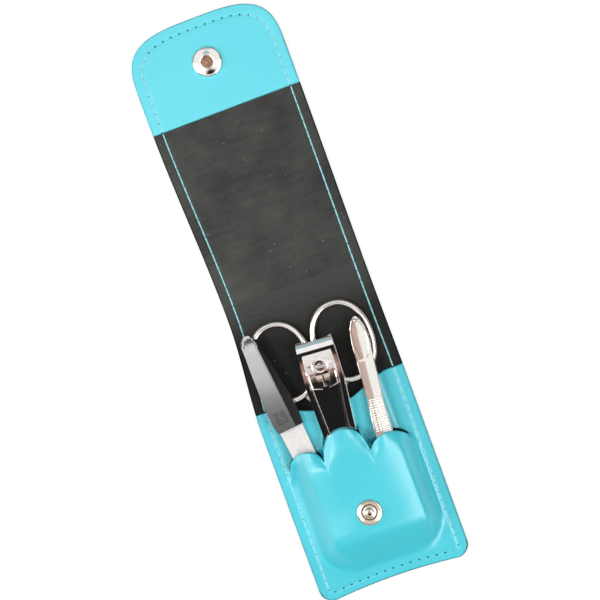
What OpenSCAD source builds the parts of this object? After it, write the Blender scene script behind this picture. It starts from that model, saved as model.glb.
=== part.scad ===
// Manicure set case: a folding leather case with a file, a nail clipper, tweezers and scissors.
// Millimetres. X runs across the case, Y along it towards the flap, Z up from the table.

/* [Case] */
// Width of the case at its ends
case_w = 56; // [54:0.5:60]
// Length of the case when it lies open
case_l = 212.3; // [210:0.1:216]
// Length of the rounded end of the flap
flap_round_l = 20.6; // [16:0.1:24]
// Radius of the corners at the pocket end
pocket_corner_r = 5; // [3:0.5:8]
// How far the left side is drawn in at the fold
waist_left = 2.5; // [0:0.1:3]
// How far the right side is drawn in at the fold
waist_right = 0.3; // [0:0.1:3]
// How far the edge at the pocket end is hollowed at its middle
end_scoop = 1.3; // [0:0.1:2]
// Thickness of the outer leather
shell_t = 0.8; // [0.7:0.05:1.2]
// Thickness of the lining layer
lining_t = 0.8; // [0.7:0.05:1.2]
// Thickness of the stiffening card under the lining
board_t = 0.4; // [0.3:0.05:0.5]
// Margin of leather left outside each stiffening card
board_margin = 5.5; // [4.5:0.5:8]
// Width of the spine, which is the height inside the closed case
spine_w = 13.8; // [13.6:0.1:15]

/* [Stitching] */
// Distance of the stitches from the edge
stitch_inset = 3.6; // [3:0.1:4.2]
// Distance from one stitch to the next
stitch_pitch = 3.3; // [3:0.1:5]
// Length of one stitch on the surface
stitch_l = 2.5; // [1.5:0.1:2.8]
// Width of the thread
thread_w = 0.5; // [0.3:0.05:0.8]
// Height of the thread above the leather
thread_h = 0.25; // [0.15:0.05:0.4]

/* [Pocket] */
// Thickness of the pocket leather
panel_t = 0.8; // [0.6:0.05:1]
// Distance of the pocket mouth from the pocket end, at its sides
mouth_from_end = 71.6; // [69:0.1:73]
// Depth of the scoop in the pocket mouth
mouth_scoop = 6; // [3:0.1:7]
// Height of the panel over the scissors, top of the leather above the lining
panel_low = 3.7; // [3.6:0.1:3.8]
// Height of the domed part of the panel above the lining
panel_high = 11.3; // [11:0.1:12]
// Height of the pocket leather at the snap above the lining
panel_snap = 9.8; // [9.6:0.1:10]
// Distance of the crown of the dome from the pocket end
crown_from_end = 48; // [46:0.5:50]
// Width of the flat sewn border of the panel
border_w = 4.6; // [4.2:0.1:5]

/* [Snap] */
// Distance of the stud from the pocket end
stud_from_end = 26.75; // [25:0.05:28]
// Distance of the socket from the flap end
socket_from_end = 16.55; // [15:0.05:18]
// Sideways place of the snap
snap_x = -0.4; // [-1:0.1:1]
// Radius of the socket plate
socket_r = 5.35; // [4.8:0.05:6]
// Radius of the hole that takes the stud
socket_hole_r = 2.1; // [2.05:0.05:2.4]
// Radius of the stud's base ring
stud_r = 4.5; // [4:0.05:5]
// Radius of the stud's head
stud_head_r = 1.85; // [1.7:0.01:1.9]
// Height of the stud above the leather
stud_h = 2.2; // [2:0.05:2.3]
// Radius of the outer cap
cap_r = 6; // [5:0.1:6.5]
// Thickness of the outer cap
cap_t = 0.5; // [0.4:0.05:0.55]
// Radius of the shaft that joins the two sides of a snap half
rivet_r = 1.2; // [1:0.05:1.3]
// Distance of the facing's lower edge from the flap end
facing_l = 34.7; // [30:0.1:38]
// Thickness of the facing
facing_t = 0.8; // [0.6:0.05:0.9]

/* [File] */
// Length of the whole file
file_l = 86; // [80:0.5:88]
// Length of the moulded handle
file_handle_l = 36.2; // [34:0.1:38]
// Width of the blade at the handle
file_blade_w = 8.7; // [8:0.1:9]
// Thickness of the blade
file_blade_t = 1; // [0.8:0.1:1.1]
// Thickness of the handle at its ridge
file_handle_t = 3.6; // [3:0.1:4.2]

/* [Clipper] */
// Length of the clipper
clipper_l = 57; // [55:0.5:60]
// Half width of the jaws at the cutting edge
jaw_half_w = 6.4; // [6:0.1:6.5]
// Thickness of each leaf
leaf_t = 1.2; // [1:0.05:1.3]
// Height that the upper leaf springs up towards the jaws
leaf_rise = 3.2; // [3:0.1:3.3]
// Gap between the cutting edges when nothing is squeezed
jaw_gap = 1.4; // [1.3:0.05:1.5]
// Length of the curved nose of each jaw
jaw_nose = 11; // [10:0.5:12]
// Thickness of the lever plate
lever_t = 0.6; // [0.5:0.05:0.7]
// Height of the lever's flanges above its plate
flange_h = 1; // [0.6:0.05:1]
// Radius of the post
post_r = 1.5; // [1.3:0.05:1.6]

/* [Tweezers] */
// Length of the tweezers
tweezers_l = 73.5; // [70:0.5:76]
// Thickness of each arm
arm_t = 0.9; // [0.7:0.05:0.9]
// Gap between the arms at the grip
arm_gap = 2.6; // [2.4:0.1:2.7]

/* [Scissors] */
// Thickness of the ring wire
ring_wire = 2.3; // [2:0.05:2.4]
// Half width of a finger ring, to the middle of its wire
ring_a = 10.15; // [9.5:0.05:10.4]
// Half length of a finger ring, to the middle of its wire
ring_b = 14; // [13:0.05:14.5]
// Thickness of each half at the blade
blade_t = 1; // [0.8:0.05:1.1]
// Length of the blades from the pivot to the tips
blade_l = 36.5; // [30:0.5:38]
// Radius of the pivot screw
screw_r = 1.5; // [1.2:0.05:1.6]

/* [Hidden] */
$fn = 64;

// Small gaps between pieces that move or are set into each other
running_gap = 0.05;
loose_gap = 0.2;

slab_t = shell_t + lining_t;
pocket_end = -case_l / 2;
flap_end = case_l / 2;
stud_y = pocket_end + stud_from_end;
socket_y = flap_end - socket_from_end;
fold_base_y = (stud_y + socket_y) / 2 - spine_w / 2;
fold_cover_y = fold_base_y + spine_w;
facing_y = flap_end - facing_l;
mouth_y = pocket_end + mouth_from_end;

// The leather is drawn in over this stretch, either side of the fold
waist_low = -42;
waist_high = 77;

// Heights above the table
lining_z = slab_t;
border_z = lining_z + panel_t;
low_z = lining_z + panel_low;
high_z = lining_z + panel_high;
snap_z = lining_z + panel_snap;
tool_z = low_z + loose_gap;
scissors_z = lining_z + 0.3;

function smooth(t) = let(c = max(0, min(1, t))) c * c * (3 - 2 * c);
function mix(a, b, t) = a + (b - a) * t;
function hump(q, p) = abs(q) >= 1 ? 0 : pow(1 - pow(abs(q), p), 1 / p);

// Half width of the case at a place along it, on the left (side -1) or on the right (side 1)
function waist(y) = y > 0 ? smooth((waist_high - y) / waist_high) : smooth((waist_low - y) / waist_low);
function half_w(y, side) = case_w / 2 - (side < 0 ? waist_left : waist_right) * waist(y);
function mirrored(points) = concat(points,
    [for (i = [len(points) - 1 : -1 : 0]) [-points[i][0], points[i][1]]]);

// The flap ends in a full curve, squarer than an ellipse
flap_power = 3.4;
flap_round_y = flap_end - flap_round_l;
function flap_curve(a, inset) = [(case_w / 2 - inset) * pow(cos(a), 2 / flap_power),
    flap_round_y + (flap_round_l - inset) * pow(sin(a), 2 / flap_power)];
// The edge at the pocket end is hollowed between its two round corners
scoop_half = case_w / 2 - pocket_corner_r;
function scoop_at(x) = end_scoop * max(0, 1 - x * x / (scoop_half * scoop_half));

// Outline of one side of the case, drawn in by an inset
function side_outline(inset, side) = let(r = max(0.3, pocket_corner_r - inset)) concat(
    [for (x = [0 : scoop_half / 6 : scoop_half - 1]) [side * x, pocket_end + scoop_at(x) + inset]],
    [for (a = [-90 : 15 : 0]) [side * (case_w / 2 - inset - r + r * cos(a)),
                               pocket_end + inset + r + r * sin(a)]],
    [for (y = [waist_low : 7 : waist_high]) [side * (half_w(y, side) - inset), y]],
    [for (a = [0 : 7.5 : 90]) let(p = flap_curve(a, inset)) [side * p[0], p[1]]]);
function case_outline(inset) = let(left = side_outline(inset, -1), n = len(left))
    concat(side_outline(inset, 1), [for (i = [n - 2 : -1 : 1]) left[i]]);

module slab(y0, y1, z, h, inset = 0) {
    translate([0, 0, z]) linear_extrude(h) intersection() {
        polygon(case_outline(inset));
        translate([-case_w, y0]) square([2 * case_w, y1 - y0]);
    }
}

// Card under the lining, for the base or the cover
base_card = [pocket_end + board_margin, fold_base_y - board_margin];
cover_card = [fold_cover_y + board_margin, flap_end - board_margin];
module card(span) slab(span[0], span[1], shell_t, board_t, board_margin);

module base_shell() color("mediumturquoise") slab(pocket_end, fold_base_y, 0, shell_t);
module spine_shell() color("mediumturquoise") slab(fold_base_y, fold_cover_y, 0, shell_t);
module cover_shell() color("mediumturquoise") difference() {
    slab(fold_cover_y, flap_end, 0, shell_t);
    translate([snap_x, socket_y, -1]) cylinder(r = cap_r + running_gap, h = 1 + cap_t);
    snap_hole(-1, 4);
}

module base_lining() color("dimgray") difference() {
    slab(pocket_end, fold_base_y, shell_t, lining_t);
    card(base_card);
}
module spine_lining() color("dimgray") slab(fold_base_y, fold_cover_y, shell_t, lining_t);
module cover_lining() color("dimgray") difference() {
    slab(fold_cover_y, flap_end, shell_t, lining_t);
    card(cover_card);
    snap_hole(-1, 6);
}
module base_board() color("tan") card(base_card);
module cover_board() color("tan") difference() {
    card(cover_card);
    snap_hole(-1, 6);
}
module cover_facing() color("turquoise") difference() {
    slab(facing_y, flap_end, slab_t, facing_t);
    snap_hole(-1, 8);
}
module snap_hole(z, h) translate([snap_x, socket_y, z]) cylinder(r = rivet_r + running_gap, h = h);

// Snap: a low cap and a socket on the flap, a stud and its rivet on the pocket
socket_z = slab_t + facing_t;
socket_floor = 0.45;
module snap_cap() color("silver") translate([snap_x, socket_y, 0]) rotate_extrude() polygon([
    [0, 0], [cap_r - 2, 0], [cap_r - 0.5, 0.12], [cap_r, 0.3], [cap_r, cap_t], [rivet_r, cap_t],
    [rivet_r, socket_z + socket_floor], [rivet_r + 0.45, socket_z + socket_floor],
    [rivet_r + 0.3, socket_z + socket_floor + 0.25], [0, socket_z + socket_floor + 0.25]]);
module snap_socket() color("silver") translate([snap_x, socket_y, socket_z]) rotate_extrude() polygon([
    [rivet_r + running_gap, 0], [socket_r, 0], [socket_r, 0.3], [socket_r - 0.35, 0.75],
    [socket_r - 1.1, 1.2], [socket_r - 2.1, 1.6], [socket_hole_r + 0.55, 1.85],
    [socket_hole_r + 0.15, 1.8], [socket_hole_r, 1.6], [socket_hole_r, socket_floor],
    [rivet_r + running_gap, socket_floor]]);
rivet_depth = 1.2;
module snap_stud() color("silver") translate([snap_x, stud_y, snap_z]) rotate_extrude() polygon([
    [rivet_r, 0], [stud_r, 0], [stud_r, 0.35], [stud_r - 0.3, 0.65], [stud_r - 0.8, 0.7],
    [stud_r - 1.3, 0.4], [stud_head_r + 0.7, 0.35], [stud_head_r - 0.2, 0.5], [stud_head_r - 0.25, 0.9],
    [stud_head_r, 1.25], [stud_head_r, 1.6], [stud_head_r - 0.35, stud_h - 0.2],
    [stud_head_r - 1, stud_h], [0, stud_h], [0, rivet_depth], [rivet_r, rivet_depth]]);
module snap_rivet() color("silver") translate([snap_x, stud_y, snap_z]) rotate_extrude() polygon([
    [0, rivet_depth], [rivet_r, rivet_depth], [rivet_r, -panel_t], [3, -panel_t],
    [2.9, -panel_t - 0.35], [2.4, -panel_t - 0.45], [0, -panel_t - 0.45]]);

// Each slit in the pocket panel: left end, right end, ends' height and top, from the pocket end
file_slit = [-22.7, -9.2, 48.6, 54.1];
clipper_slit = [-8, 6.2, 53.3, 57.8];
tweezers_slit = [7.4, 21.5, 47.4, 51.3];
slits = [file_slit, clipper_slit, tweezers_slit];
slit_steps = 7;
// Lift of each tongue of leather above the bridges beside it
file_lift = 5.4;
clipper_lift = 7.6;
tweezers_lift = 7.5;

// Circular arc of a slit: height over its ends at a place across it
function arc_over(x, slit) = let(half = (slit[1] - slit[0]) / 2, rise = slit[3] - slit[2],
    r = (half * half + rise * rise) / (2 * rise), d = x - (slit[0] + slit[1]) / 2)
    abs(d) >= half ? 0 : sqrt(max(0, r * r - d * d)) - (r - rise);
function bridge(x, a, b) = mix(a[2], b[2], max(0, min(1, (x - a[1]) / (b[0] - a[1]))));
function slit_base(x) = x < clipper_slit[1] ? bridge(x, file_slit, clipper_slit)
                                            : bridge(x, clipper_slit, tweezers_slit);
function slit_y(x) = pocket_end + slit_base(x) + arc_over(x, file_slit) + arc_over(x, clipper_slit)
    + arc_over(x, tweezers_slit);
mouth_half = case_w / 2 - 7;
function mouth_at(x) = mouth_y - mouth_scoop * pow(max(0, cos(90 * min(1, abs(x) / mouth_half))), 1.3);

// Heights of the panel's top: behind the tools, at the free edges of the tongues, and over the dome
shoulder_x = case_w / 2 - border_w;
flat_x = 13;
function low_at(x) = border_z + (low_z - border_z) * smooth((shoulder_x - abs(x)) / (shoulder_x - flat_x));
function slit_q(x, slit) = (2 * x - slit[0] - slit[1]) / (slit[1] - slit[0]);
function tongue_at(x) = low_at(x) + file_lift * hump(slit_q(x, file_slit), 3)
    + clipper_lift * hump(slit_q(x, clipper_slit), 3) + tweezers_lift * hump(slit_q(x, tweezers_slit), 3);
crown_y = pocket_end + crown_from_end;
dome_end = pocket_end + border_w;
function across(x) = hump(x / shoulder_x, x < 0 ? 2.6 : 4);
// The dome reaches its height part of the way from its foot to its crown
dome_fall = 2;
function along(y) = pow(smooth(dome_fall * (y - dome_end) / (crown_y - dome_end)), 0.55);
function dome_at(x, y) = border_z + (high_z - border_z) * across(x) * along(y);
tongue_blend = 8;
snap_flat_r = stud_r + 3;
snap_blend_r = 14;
function snap_share(x, y) = let(r = sqrt((x - snap_x) * (x - snap_x) + (y - stud_y) * (y - stud_y)))
    smooth((snap_blend_r - r) / (snap_blend_r - snap_flat_r));
function front_at(x, y) = let(t = smooth((slit_y(x) - y) / tongue_blend))
    mix(mix(tongue_at(x), dome_at(x, y), t), snap_z, snap_share(x, y));

// Stations across the panel, close together where a slit ends
function cosine_steps(slit) = [for (k = [0 : slit_steps])
    (slit[0] + slit[1]) / 2 - (slit[1] - slit[0]) / 2 * cos(180 * k / slit_steps)];
panel_x = concat([-case_w / 2, -(case_w / 2 + shoulder_x) / 2, -shoulder_x], cosine_steps(file_slit),
    cosine_steps(clipper_slit), cosine_steps(tweezers_slit),
    [shoulder_x, (case_w / 2 + shoulder_x) / 2, case_w / 2]);
behind_rows = 3;
dome_rows = 12;
border_rows = 3;
front_rows = dome_rows + border_rows;
nx = len(panel_x);
// Half width of the panel, with the rounded corners at the pocket end
function panel_half(y, side) = let(d = pocket_end + pocket_corner_r - y) half_w(y, side)
    - (d > 0 ? pocket_corner_r - sqrt(max(0, pocket_corner_r * pocket_corner_r - d * d)) : 0);
function spread(x, y) = x / (case_w / 2) * panel_half(y, x);
// Rows are close together where the dome falls steeply to its border
function front_row_y(x, j) = j <= dome_rows
    ? mix(slit_y(x), dome_end, 1 - pow(1 - j / dome_rows, 1.5))
    : dome_end - border_w * sin(90 * (j - dome_rows) / border_rows)
        + scoop_at(x) * (j - dome_rows) / border_rows;
function behind_point(i, j) = let(x = panel_x[i], y = mix(mouth_at(x), slit_y(x), j / behind_rows))
    [spread(x, y), y, low_at(x)];
function front_point(i, j) = let(x = panel_x[i], y = front_row_y(x, j), s = spread(x, y))
    [s, y, j == 0 ? tongue_at(x) : front_at(s, y)];
function inside(x, slit) = x > slit[0] + 0.001 && x < slit[1] - 0.001;
function open_at(i) = len([for (s = slits) if (inside(panel_x[i], s)) s]) > 0;

// Points: for each row all tops, then all undersides. The first front row shares the last row
// behind it wherever the two are not parted by a slit.
panel_rows = concat(
    [for (j = [0 : behind_rows]) [for (i = [0 : nx - 1]) behind_point(i, j)]],
    [for (j = [0 : front_rows]) [for (i = [0 : nx - 1]) front_point(i, j)]]);
panel_points = concat([for (row = panel_rows) each row],
    [for (row = panel_rows) each [for (p = row) [p[0], p[1], p[2] - panel_t]]]);
n_rows = behind_rows + front_rows + 2;
function at(j, i, under) = let(shared = j == behind_rows + 1 && !open_at(i) ? behind_rows : j)
    (under ? n_rows * nx : 0) + shared * nx + i;
function quad(a, b, c, d) = [[a, b, c], [a, c, d]];
panel_faces = concat(
    [for (j = [0 : n_rows - 2]) if (j != behind_rows) for (i = [0 : nx - 2])
        each quad(at(j, i, false), at(j, i + 1, false), at(j + 1, i + 1, false), at(j + 1, i, false))],
    [for (j = [0 : n_rows - 2]) if (j != behind_rows) for (i = [0 : nx - 2])
        each quad(at(j, i, true), at(j + 1, i, true), at(j + 1, i + 1, true), at(j, i + 1, true))],
    [for (i = [0 : nx - 2])
        each quad(at(0, i, true), at(0, i + 1, true), at(0, i + 1, false), at(0, i, false))],
    [for (i = [0 : nx - 2]) each quad(at(n_rows - 1, i, false), at(n_rows - 1, i + 1, false),
        at(n_rows - 1, i + 1, true), at(n_rows - 1, i, true))],
    [for (i = [0 : nx - 2], j = [behind_rows, behind_rows + 1]) if (open_at(i) || open_at(i + 1))
        let(u = j > behind_rows) each quad(at(j, i, u), at(j, i + 1, u), at(j, i + 1, !u), at(j, i, !u))],
    [for (j = [0 : n_rows - 2]) if (j != behind_rows) each concat(
        quad(at(j, 0, false), at(j + 1, 0, false), at(j + 1, 0, true), at(j, 0, true)),
        quad(at(j, nx - 1, true), at(j + 1, nx - 1, true), at(j + 1, nx - 1, false), at(j, nx - 1, false)))]);
module pocket_panel() color("turquoise") difference() {
    polyhedron(panel_points, panel_faces);
    translate([snap_x, stud_y, snap_z - 3]) cylinder(r = rivet_r + running_gap, h = 6);
}

// Stitches lie on the lining, on the facing or on the border of the pocket panel
function seam_z(y) = y < mouth_y ? border_z : y > facing_y ? socket_z : lining_z;
function seam_x(y, side) = side * (half_w(y, side) - stitch_inset);
module stitch(x, y, turn = 0) translate([x, y, seam_z(y)]) rotate(turn)
    translate([-thread_w / 2, -stitch_l / 2, 0]) cube([thread_w, stitch_l, thread_h]);
function clears(y, line) = abs(y - line) > stitch_l / 2 + 0.2;
module side_stitches(y0, y1) {
    n = floor((y1 - y0) / stitch_pitch);
    for (k = [0 : n - 1]) {
        y = y0 + (k + 0.5) * (y1 - y0) / n;
        if (clears(y, mouth_y) && clears(y, facing_y)) for (side = [-1, 1]) stitch(seam_x(y, side), y);
    }
}
row_inset = 2.9;
row_y = pocket_end + row_inset;
row_reach = scoop_half - 1;
module base_stitching() color("paleturquoise") {
    side_stitches(row_y + 1.5, fold_base_y);
    n = floor(2 * row_reach / stitch_pitch);
    for (k = [0 : n - 1]) {
        x = -row_reach + (k + 0.5) * 2 * row_reach / n;
        stitch(x, row_y + scoop_at(x), 90 - atan(2 * end_scoop * x / (scoop_half * scoop_half)));
    }
}
module spine_stitching() color("paleturquoise") side_stitches(fold_base_y, fold_cover_y);
// The seam follows the flap's curve: its arc length is stepped off, a stitch at a time
curve_steps = 90;
curve_seam = [for (k = [0 : curve_steps]) flap_curve(90 * k / curve_steps, stitch_inset)];
function lengths(i) = i == 0 ? [0] : let(before = lengths(i - 1))
    concat(before, [before[i - 1] + norm(curve_seam[i] - curve_seam[i - 1])]);
seam_length = lengths(curve_steps);
curve_stitches = floor(seam_length[curve_steps] / stitch_pitch);
function on_curve(s) = [for (axis = [0, 1])
    lookup(s, [for (i = [0 : curve_steps]) [seam_length[i], curve_seam[i][axis]]])];
module cover_stitching() color("paleturquoise") {
    side_stitches(fold_cover_y, flap_round_y);
    for (side = [-1, 1], k = [0 : curve_stitches - 1]) {
        s = (k + 0.5) * seam_length[curve_steps] / curve_stitches;
        ahead = on_curve(s + thread_w) - on_curve(s);
        stitch(side * on_curve(s)[0], on_curve(s)[1], side * atan2(-ahead[0], ahead[1]));
    }
}

// Each tool's own frame: origin at its outer end, Y outwards, laid in place and turned
module at_tool(x, y, turn) translate([x, y, tool_z]) rotate(turn) children();
module in_file_frame() at_tool(-20.8, pocket_end + 99.5, 6.4) children();
module in_clipper_frame() at_tool(1.5, pocket_end + 90.6, -4) children();
module in_tweezers_frame() at_tool(17.8, pocket_end + 93.1, -5.5) children();

// Widens a list of [y, half width] pairs into a closed outline
function leaf(stations) = mirrored([for (s = stations) [s[1], s[0]]]);
// Extrudes a side view, drawn as [y, z], across the tool
module side_view(points, half) rotate([90, 0, 90]) translate([0, 0, -half])
    linear_extrude(2 * half) polygon(points);

file_tang_w = 5;
file_tang_l = 9;
file_base_z = 0.4;
module file_outline() {
    polygon(leaf([[-file_l, 0.8], [-file_l + 1.2, 1.7], [-file_l + 4, 2.5], [-file_l + 12, 3.2],
        [-file_l + 24, 3.7], [-file_handle_l, file_blade_w / 2]]));
    translate([-file_tang_w / 2, -file_handle_l - 0.01]) square([file_tang_w, file_tang_l]);
}
module file_blade() color("silver") in_file_frame() translate([0, 0, file_base_z])
    linear_extrude(file_blade_t) file_outline();
handle_end_r = 3;
ridge_x = 1.9;
module file_handle() color("black") in_file_frame() difference() {
    intersection() {
        linear_extrude(file_handle_t + 1) {
            translate([0, -handle_end_r]) circle(handle_end_r);
            polygon(leaf([[-file_handle_l, 4.8], [-file_handle_l + 3, 5.2], [-file_handle_l + 7, 5.3],
                [-23, 4.95], [-13, 4], [-6, 3.2], [-handle_end_r, handle_end_r]]));
        }
        rotate([90, 0, 0]) linear_extrude(file_l) polygon([[-7, 0], [-7, file_handle_t - 1.5],
            [ridge_x - 0.3, file_handle_t], [ridge_x + 0.3, file_handle_t],
            [7, file_handle_t - 2.4], [7, 0]]);
    }
    translate([0, 0, file_base_z]) linear_extrude(file_blade_t) file_outline();
    translate([-0.2, -3.9, file_handle_t + 3.05]) sphere(4.2);
}

// Clipper: heights of the upper leaf and of the lever along the tool
rivet_y = -clipper_l + 4;
post_y = -9.8;
leaf_gap = 0.1;
lever_rear = -clipper_l + 2;
lever_flat_end = -15;
lever_rest_z = 2 * leaf_t + leaf_rise + 0.15;
lever_fall = 2.75;
function upper_leaf_z(y) = leaf_t + leaf_gap
    + (leaf_rise - leaf_gap) * smooth((y - rivet_y) / (-jaw_nose + 1 - rivet_y));
function lever_z(y) = lever_rest_z
    - lever_fall * max(0, (lever_flat_end - y) / (lever_flat_end - lever_rear));
function nose(y0, z0, y1, z1, a) = [y0 + (y1 - y0) * sin(a), z1 + (z0 - z1) * cos(a)];
lower_edge_z = 2.2;
edge_w = 0.4;
edge_r = 30;
lower_nose = [for (a = [0 : 15 : 90]) nose(-jaw_nose, 0, 0, lower_edge_z, a)];
lower_inner = [for (a = [90 : -15 : 0]) nose(-jaw_nose, leaf_t, -edge_w, lower_edge_z, a)];
upper_edge_z = lower_edge_z + jaw_gap;
upper_top_z = 2 * leaf_t + leaf_rise;
// A low ridge across the upper jaw, in front of the lever
ridge_y = -3.9;
ridge_h = 0.25;
upper_nose = concat([[-jaw_nose, upper_top_z], [ridge_y - 1.2, upper_top_z]],
    [for (a = [0 : 15 : 90]) nose(ridge_y, upper_top_z + ridge_h, 0, upper_edge_z, a)]);
upper_inner = [for (a = [90 : -15 : 0]) nose(-jaw_nose, upper_top_z - leaf_t, -edge_w, upper_edge_z, a)];
module clipper_outline() {
    difference() {
        polygon(leaf([[rivet_y, 4], [-46, 5], [-34, 5.85], [-16, 6.95], [-2, jaw_half_w + 0.2],
            [0, jaw_half_w]]));
        translate([0, edge_r - 0.6]) circle(edge_r);
    }
    translate([0, rivet_y]) circle(4);
}
module leaf_solid(side_points) intersection() {
    linear_extrude(12) clipper_outline();
    side_view(side_points, case_w / 4);
}
module upright(y, z, r, h) translate([0, y, z]) cylinder(r = r, h = h);
foot_t = 0.5;
post_foot_r = 2.6;
rivet_head_r = 1.7;
pin_r = 1;
module clipper_lower_jaw() color("gainsboro") in_clipper_frame() difference() {
    leaf_solid(concat([[-clipper_l, 0]], lower_nose, lower_inner, [[-clipper_l, leaf_t]]));
    upright(post_y, -1, post_r + running_gap, 4);
    upright(post_y, -1, post_foot_r + running_gap, 1 + foot_t);
    upright(rivet_y, -1, pin_r + running_gap, 4);
    upright(rivet_y, -1, rivet_head_r + running_gap, 1 + foot_t);
}
leaf_rows = [for (k = [0 : 14]) -jaw_nose - (clipper_l - jaw_nose) * k / 14];
module clipper_upper_jaw() color("gainsboro") in_clipper_frame() difference() {
    leaf_solid(concat(upper_nose, upper_inner, [for (y = leaf_rows) [y, upper_leaf_z(y)]],
        [for (k = [14 : -1 : 1]) [leaf_rows[k], upper_leaf_z(leaf_rows[k]) + leaf_t]]));
    upright(post_y, 2, post_r + loose_gap, 6);
    upright(rivet_y, 0, pin_r + 0.1, 6);
}
collar_r = 2.75;
collar_h = 0.5;
flange_t = 0.6;
band_end = -11.4;
slot_w = 0.9;
module lever_outline(inset) {
    polygon(leaf([[lever_rear + 4, 4.2 - inset], [-44, 4 - inset], [-33, 3.95 - inset], [-17, 5.3 - inset],
        [-9, 5.4 - inset], [-5, 5.2 - inset]]));
    translate([0, lever_rear + 4]) circle(4.2 - inset);
}
function lever_side(up) = [for (y = [-4, lever_flat_end, lever_rear - 1]) [y, lever_z(y) + up]];
module lever_layer(low, high, inset) intersection() {
    linear_extrude(14) lever_outline(inset);
    side_view(concat(lever_side(low), [for (k = [2 : -1 : 0]) lever_side(high)[k]]), case_w / 4);
}
module clipper_lever() color("gainsboro") in_clipper_frame() difference() {
    union() {
        lever_layer(0, lever_t, 0);
        difference() {
            lever_layer(0, lever_t + flange_h, 0);
            lever_layer(-1, lever_t + flange_h + 1, flange_t);
            translate([-case_w / 4, band_end, 0]) cube([case_w / 2, 20, 20]);
        }
        upright(post_y, lever_rest_z, collar_r, lever_t + collar_h);
    }
    upright(post_y, lever_rest_z - 1, post_r + loose_gap, 6);
    for (side = [-1, 1]) linear_extrude(14) polygon([[side * 2.9, -11.8], [side * 4.6, -11.8],
        [side * 4.4, -17], [side * 1.3, -17.9]]);
    translate([-slot_w / 2, -17, 0]) cube([slot_w, 4, 14]);
}
post_top = lever_rest_z + lever_t + collar_h + 0.7;
cross_z = lever_rest_z + lever_t + collar_h + 0.05;
cross_r = 0.45;
module clipper_post() color("silver") in_clipper_frame() difference() {
    union() {
        upright(post_y, 0, post_foot_r, foot_t);
        upright(post_y, 0, post_r, post_top - 0.4);
        translate([0, post_y, post_top - 0.4]) cylinder(r1 = post_r, r2 = post_r - 0.5, h = 0.4);
    }
    cross_bar();
}
cross_l = 4.6;
module cross_bar() translate([-cross_l / 2, post_y, cross_z + cross_r]) rotate([0, 90, 0])
    cylinder(r = cross_r, h = cross_l);
module clipper_cross_pin() color("silver") in_clipper_frame() cross_bar();
module clipper_rivet() color("silver") in_clipper_frame() {
    upright(rivet_y, 0, rivet_head_r, foot_t);
    upright(rivet_y, 0, pin_r, 2 * leaf_t + leaf_gap + 0.1);
    upright(rivet_y, 2 * leaf_t + leaf_gap + 0.1, rivet_head_r, 0.35);
}

// Tweezers: one flat arm below, one sprung arm above, joined at the leaf-shaped end
arm_start = -5;
arm_full = -44;
function arm_z(y) = arm_t + 0.02 + arm_gap * smooth((arm_start - y) / (arm_start - arm_full))
    - 0.3 * smooth((-tweezers_l + 10 - y) / 10);
arm_rows = [for (k = [0 : 16]) -tweezers_l * k / 16];
module arm_outline() polygon(leaf([[-tweezers_l, 0.9], [-tweezers_l + 3, 1.3], [-60, 2.3], [-41, 3.15],
    [-35, 3], [-29, 2.75], [-28, 2.95], [-22, 3], [-14, 3.2], [-9, 3.35], [-4, 2.75], [-1.2, 1.6],
    [0, 0.6]]));
module tweezers_back_arm() color("silver") in_tweezers_frame() linear_extrude(arm_t) arm_outline();
module tweezers_front_arm() color("silver") in_tweezers_frame() difference() {
    intersection() {
        linear_extrude(10) arm_outline();
        side_view(concat([for (y = arm_rows) [y, arm_z(y)]],
            [for (k = [16 : -1 : 0]) [arm_rows[k], arm_z(arm_rows[k]) + arm_t]]), case_w / 4);
    }
    translate([0, 0, 2 * arm_t - 0.12]) linear_extrude(3) polygon(leaf([[-15.5, 0.3], [-14, 1.5],
        [-10, 2.3], [-6, 2.3], [-3, 1.5], [-1.4, 0.3]]));
}

// Scissors: oval finger rings of round wire, a little thicker at their sides
scissors_x = -0.6;
pivot_y = pocket_end + 46.15;
ring_side = ring_a + ring_wire / 2 + 0.2;
ring_y = 40;
ring_steps = 40;
wire_sides = 8;
function oval_power(v) = sign(v) * pow(abs(v), 0.92);
function ring_centre(t) = [ring_a * oval_power(cos(t)), ring_b * oval_power(sin(t))];
function ring_point(i, k) = let(t = 360 * i / ring_steps, c = ring_centre(t),
    ahead = ring_centre(t + 2) - ring_centre(t - 2), out = [ahead[1], -ahead[0]] / norm(ahead),
    a = 360 * (k + 0.5) / wire_sides, r = ring_wire / 2 / cos(180 / wire_sides))
    [c[0] + out[0] * r * cos(a), c[1] + out[1] * r * cos(a), ring_wire / 2 + r * sin(a)];
module finger_ring() polyhedron(
    [for (i = [0 : ring_steps - 1], k = [0 : wire_sides - 1]) ring_point(i, k)],
    [for (i = [0 : ring_steps - 1], k = [0 : wire_sides - 1])
        let(n = ring_steps * wire_sides, a = i * wire_sides, b = a + wire_sides, m = (k + 1) % wire_sides)
        each quad(a + k, a + m, (b + m) % n, (b + k) % n)]);
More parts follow.
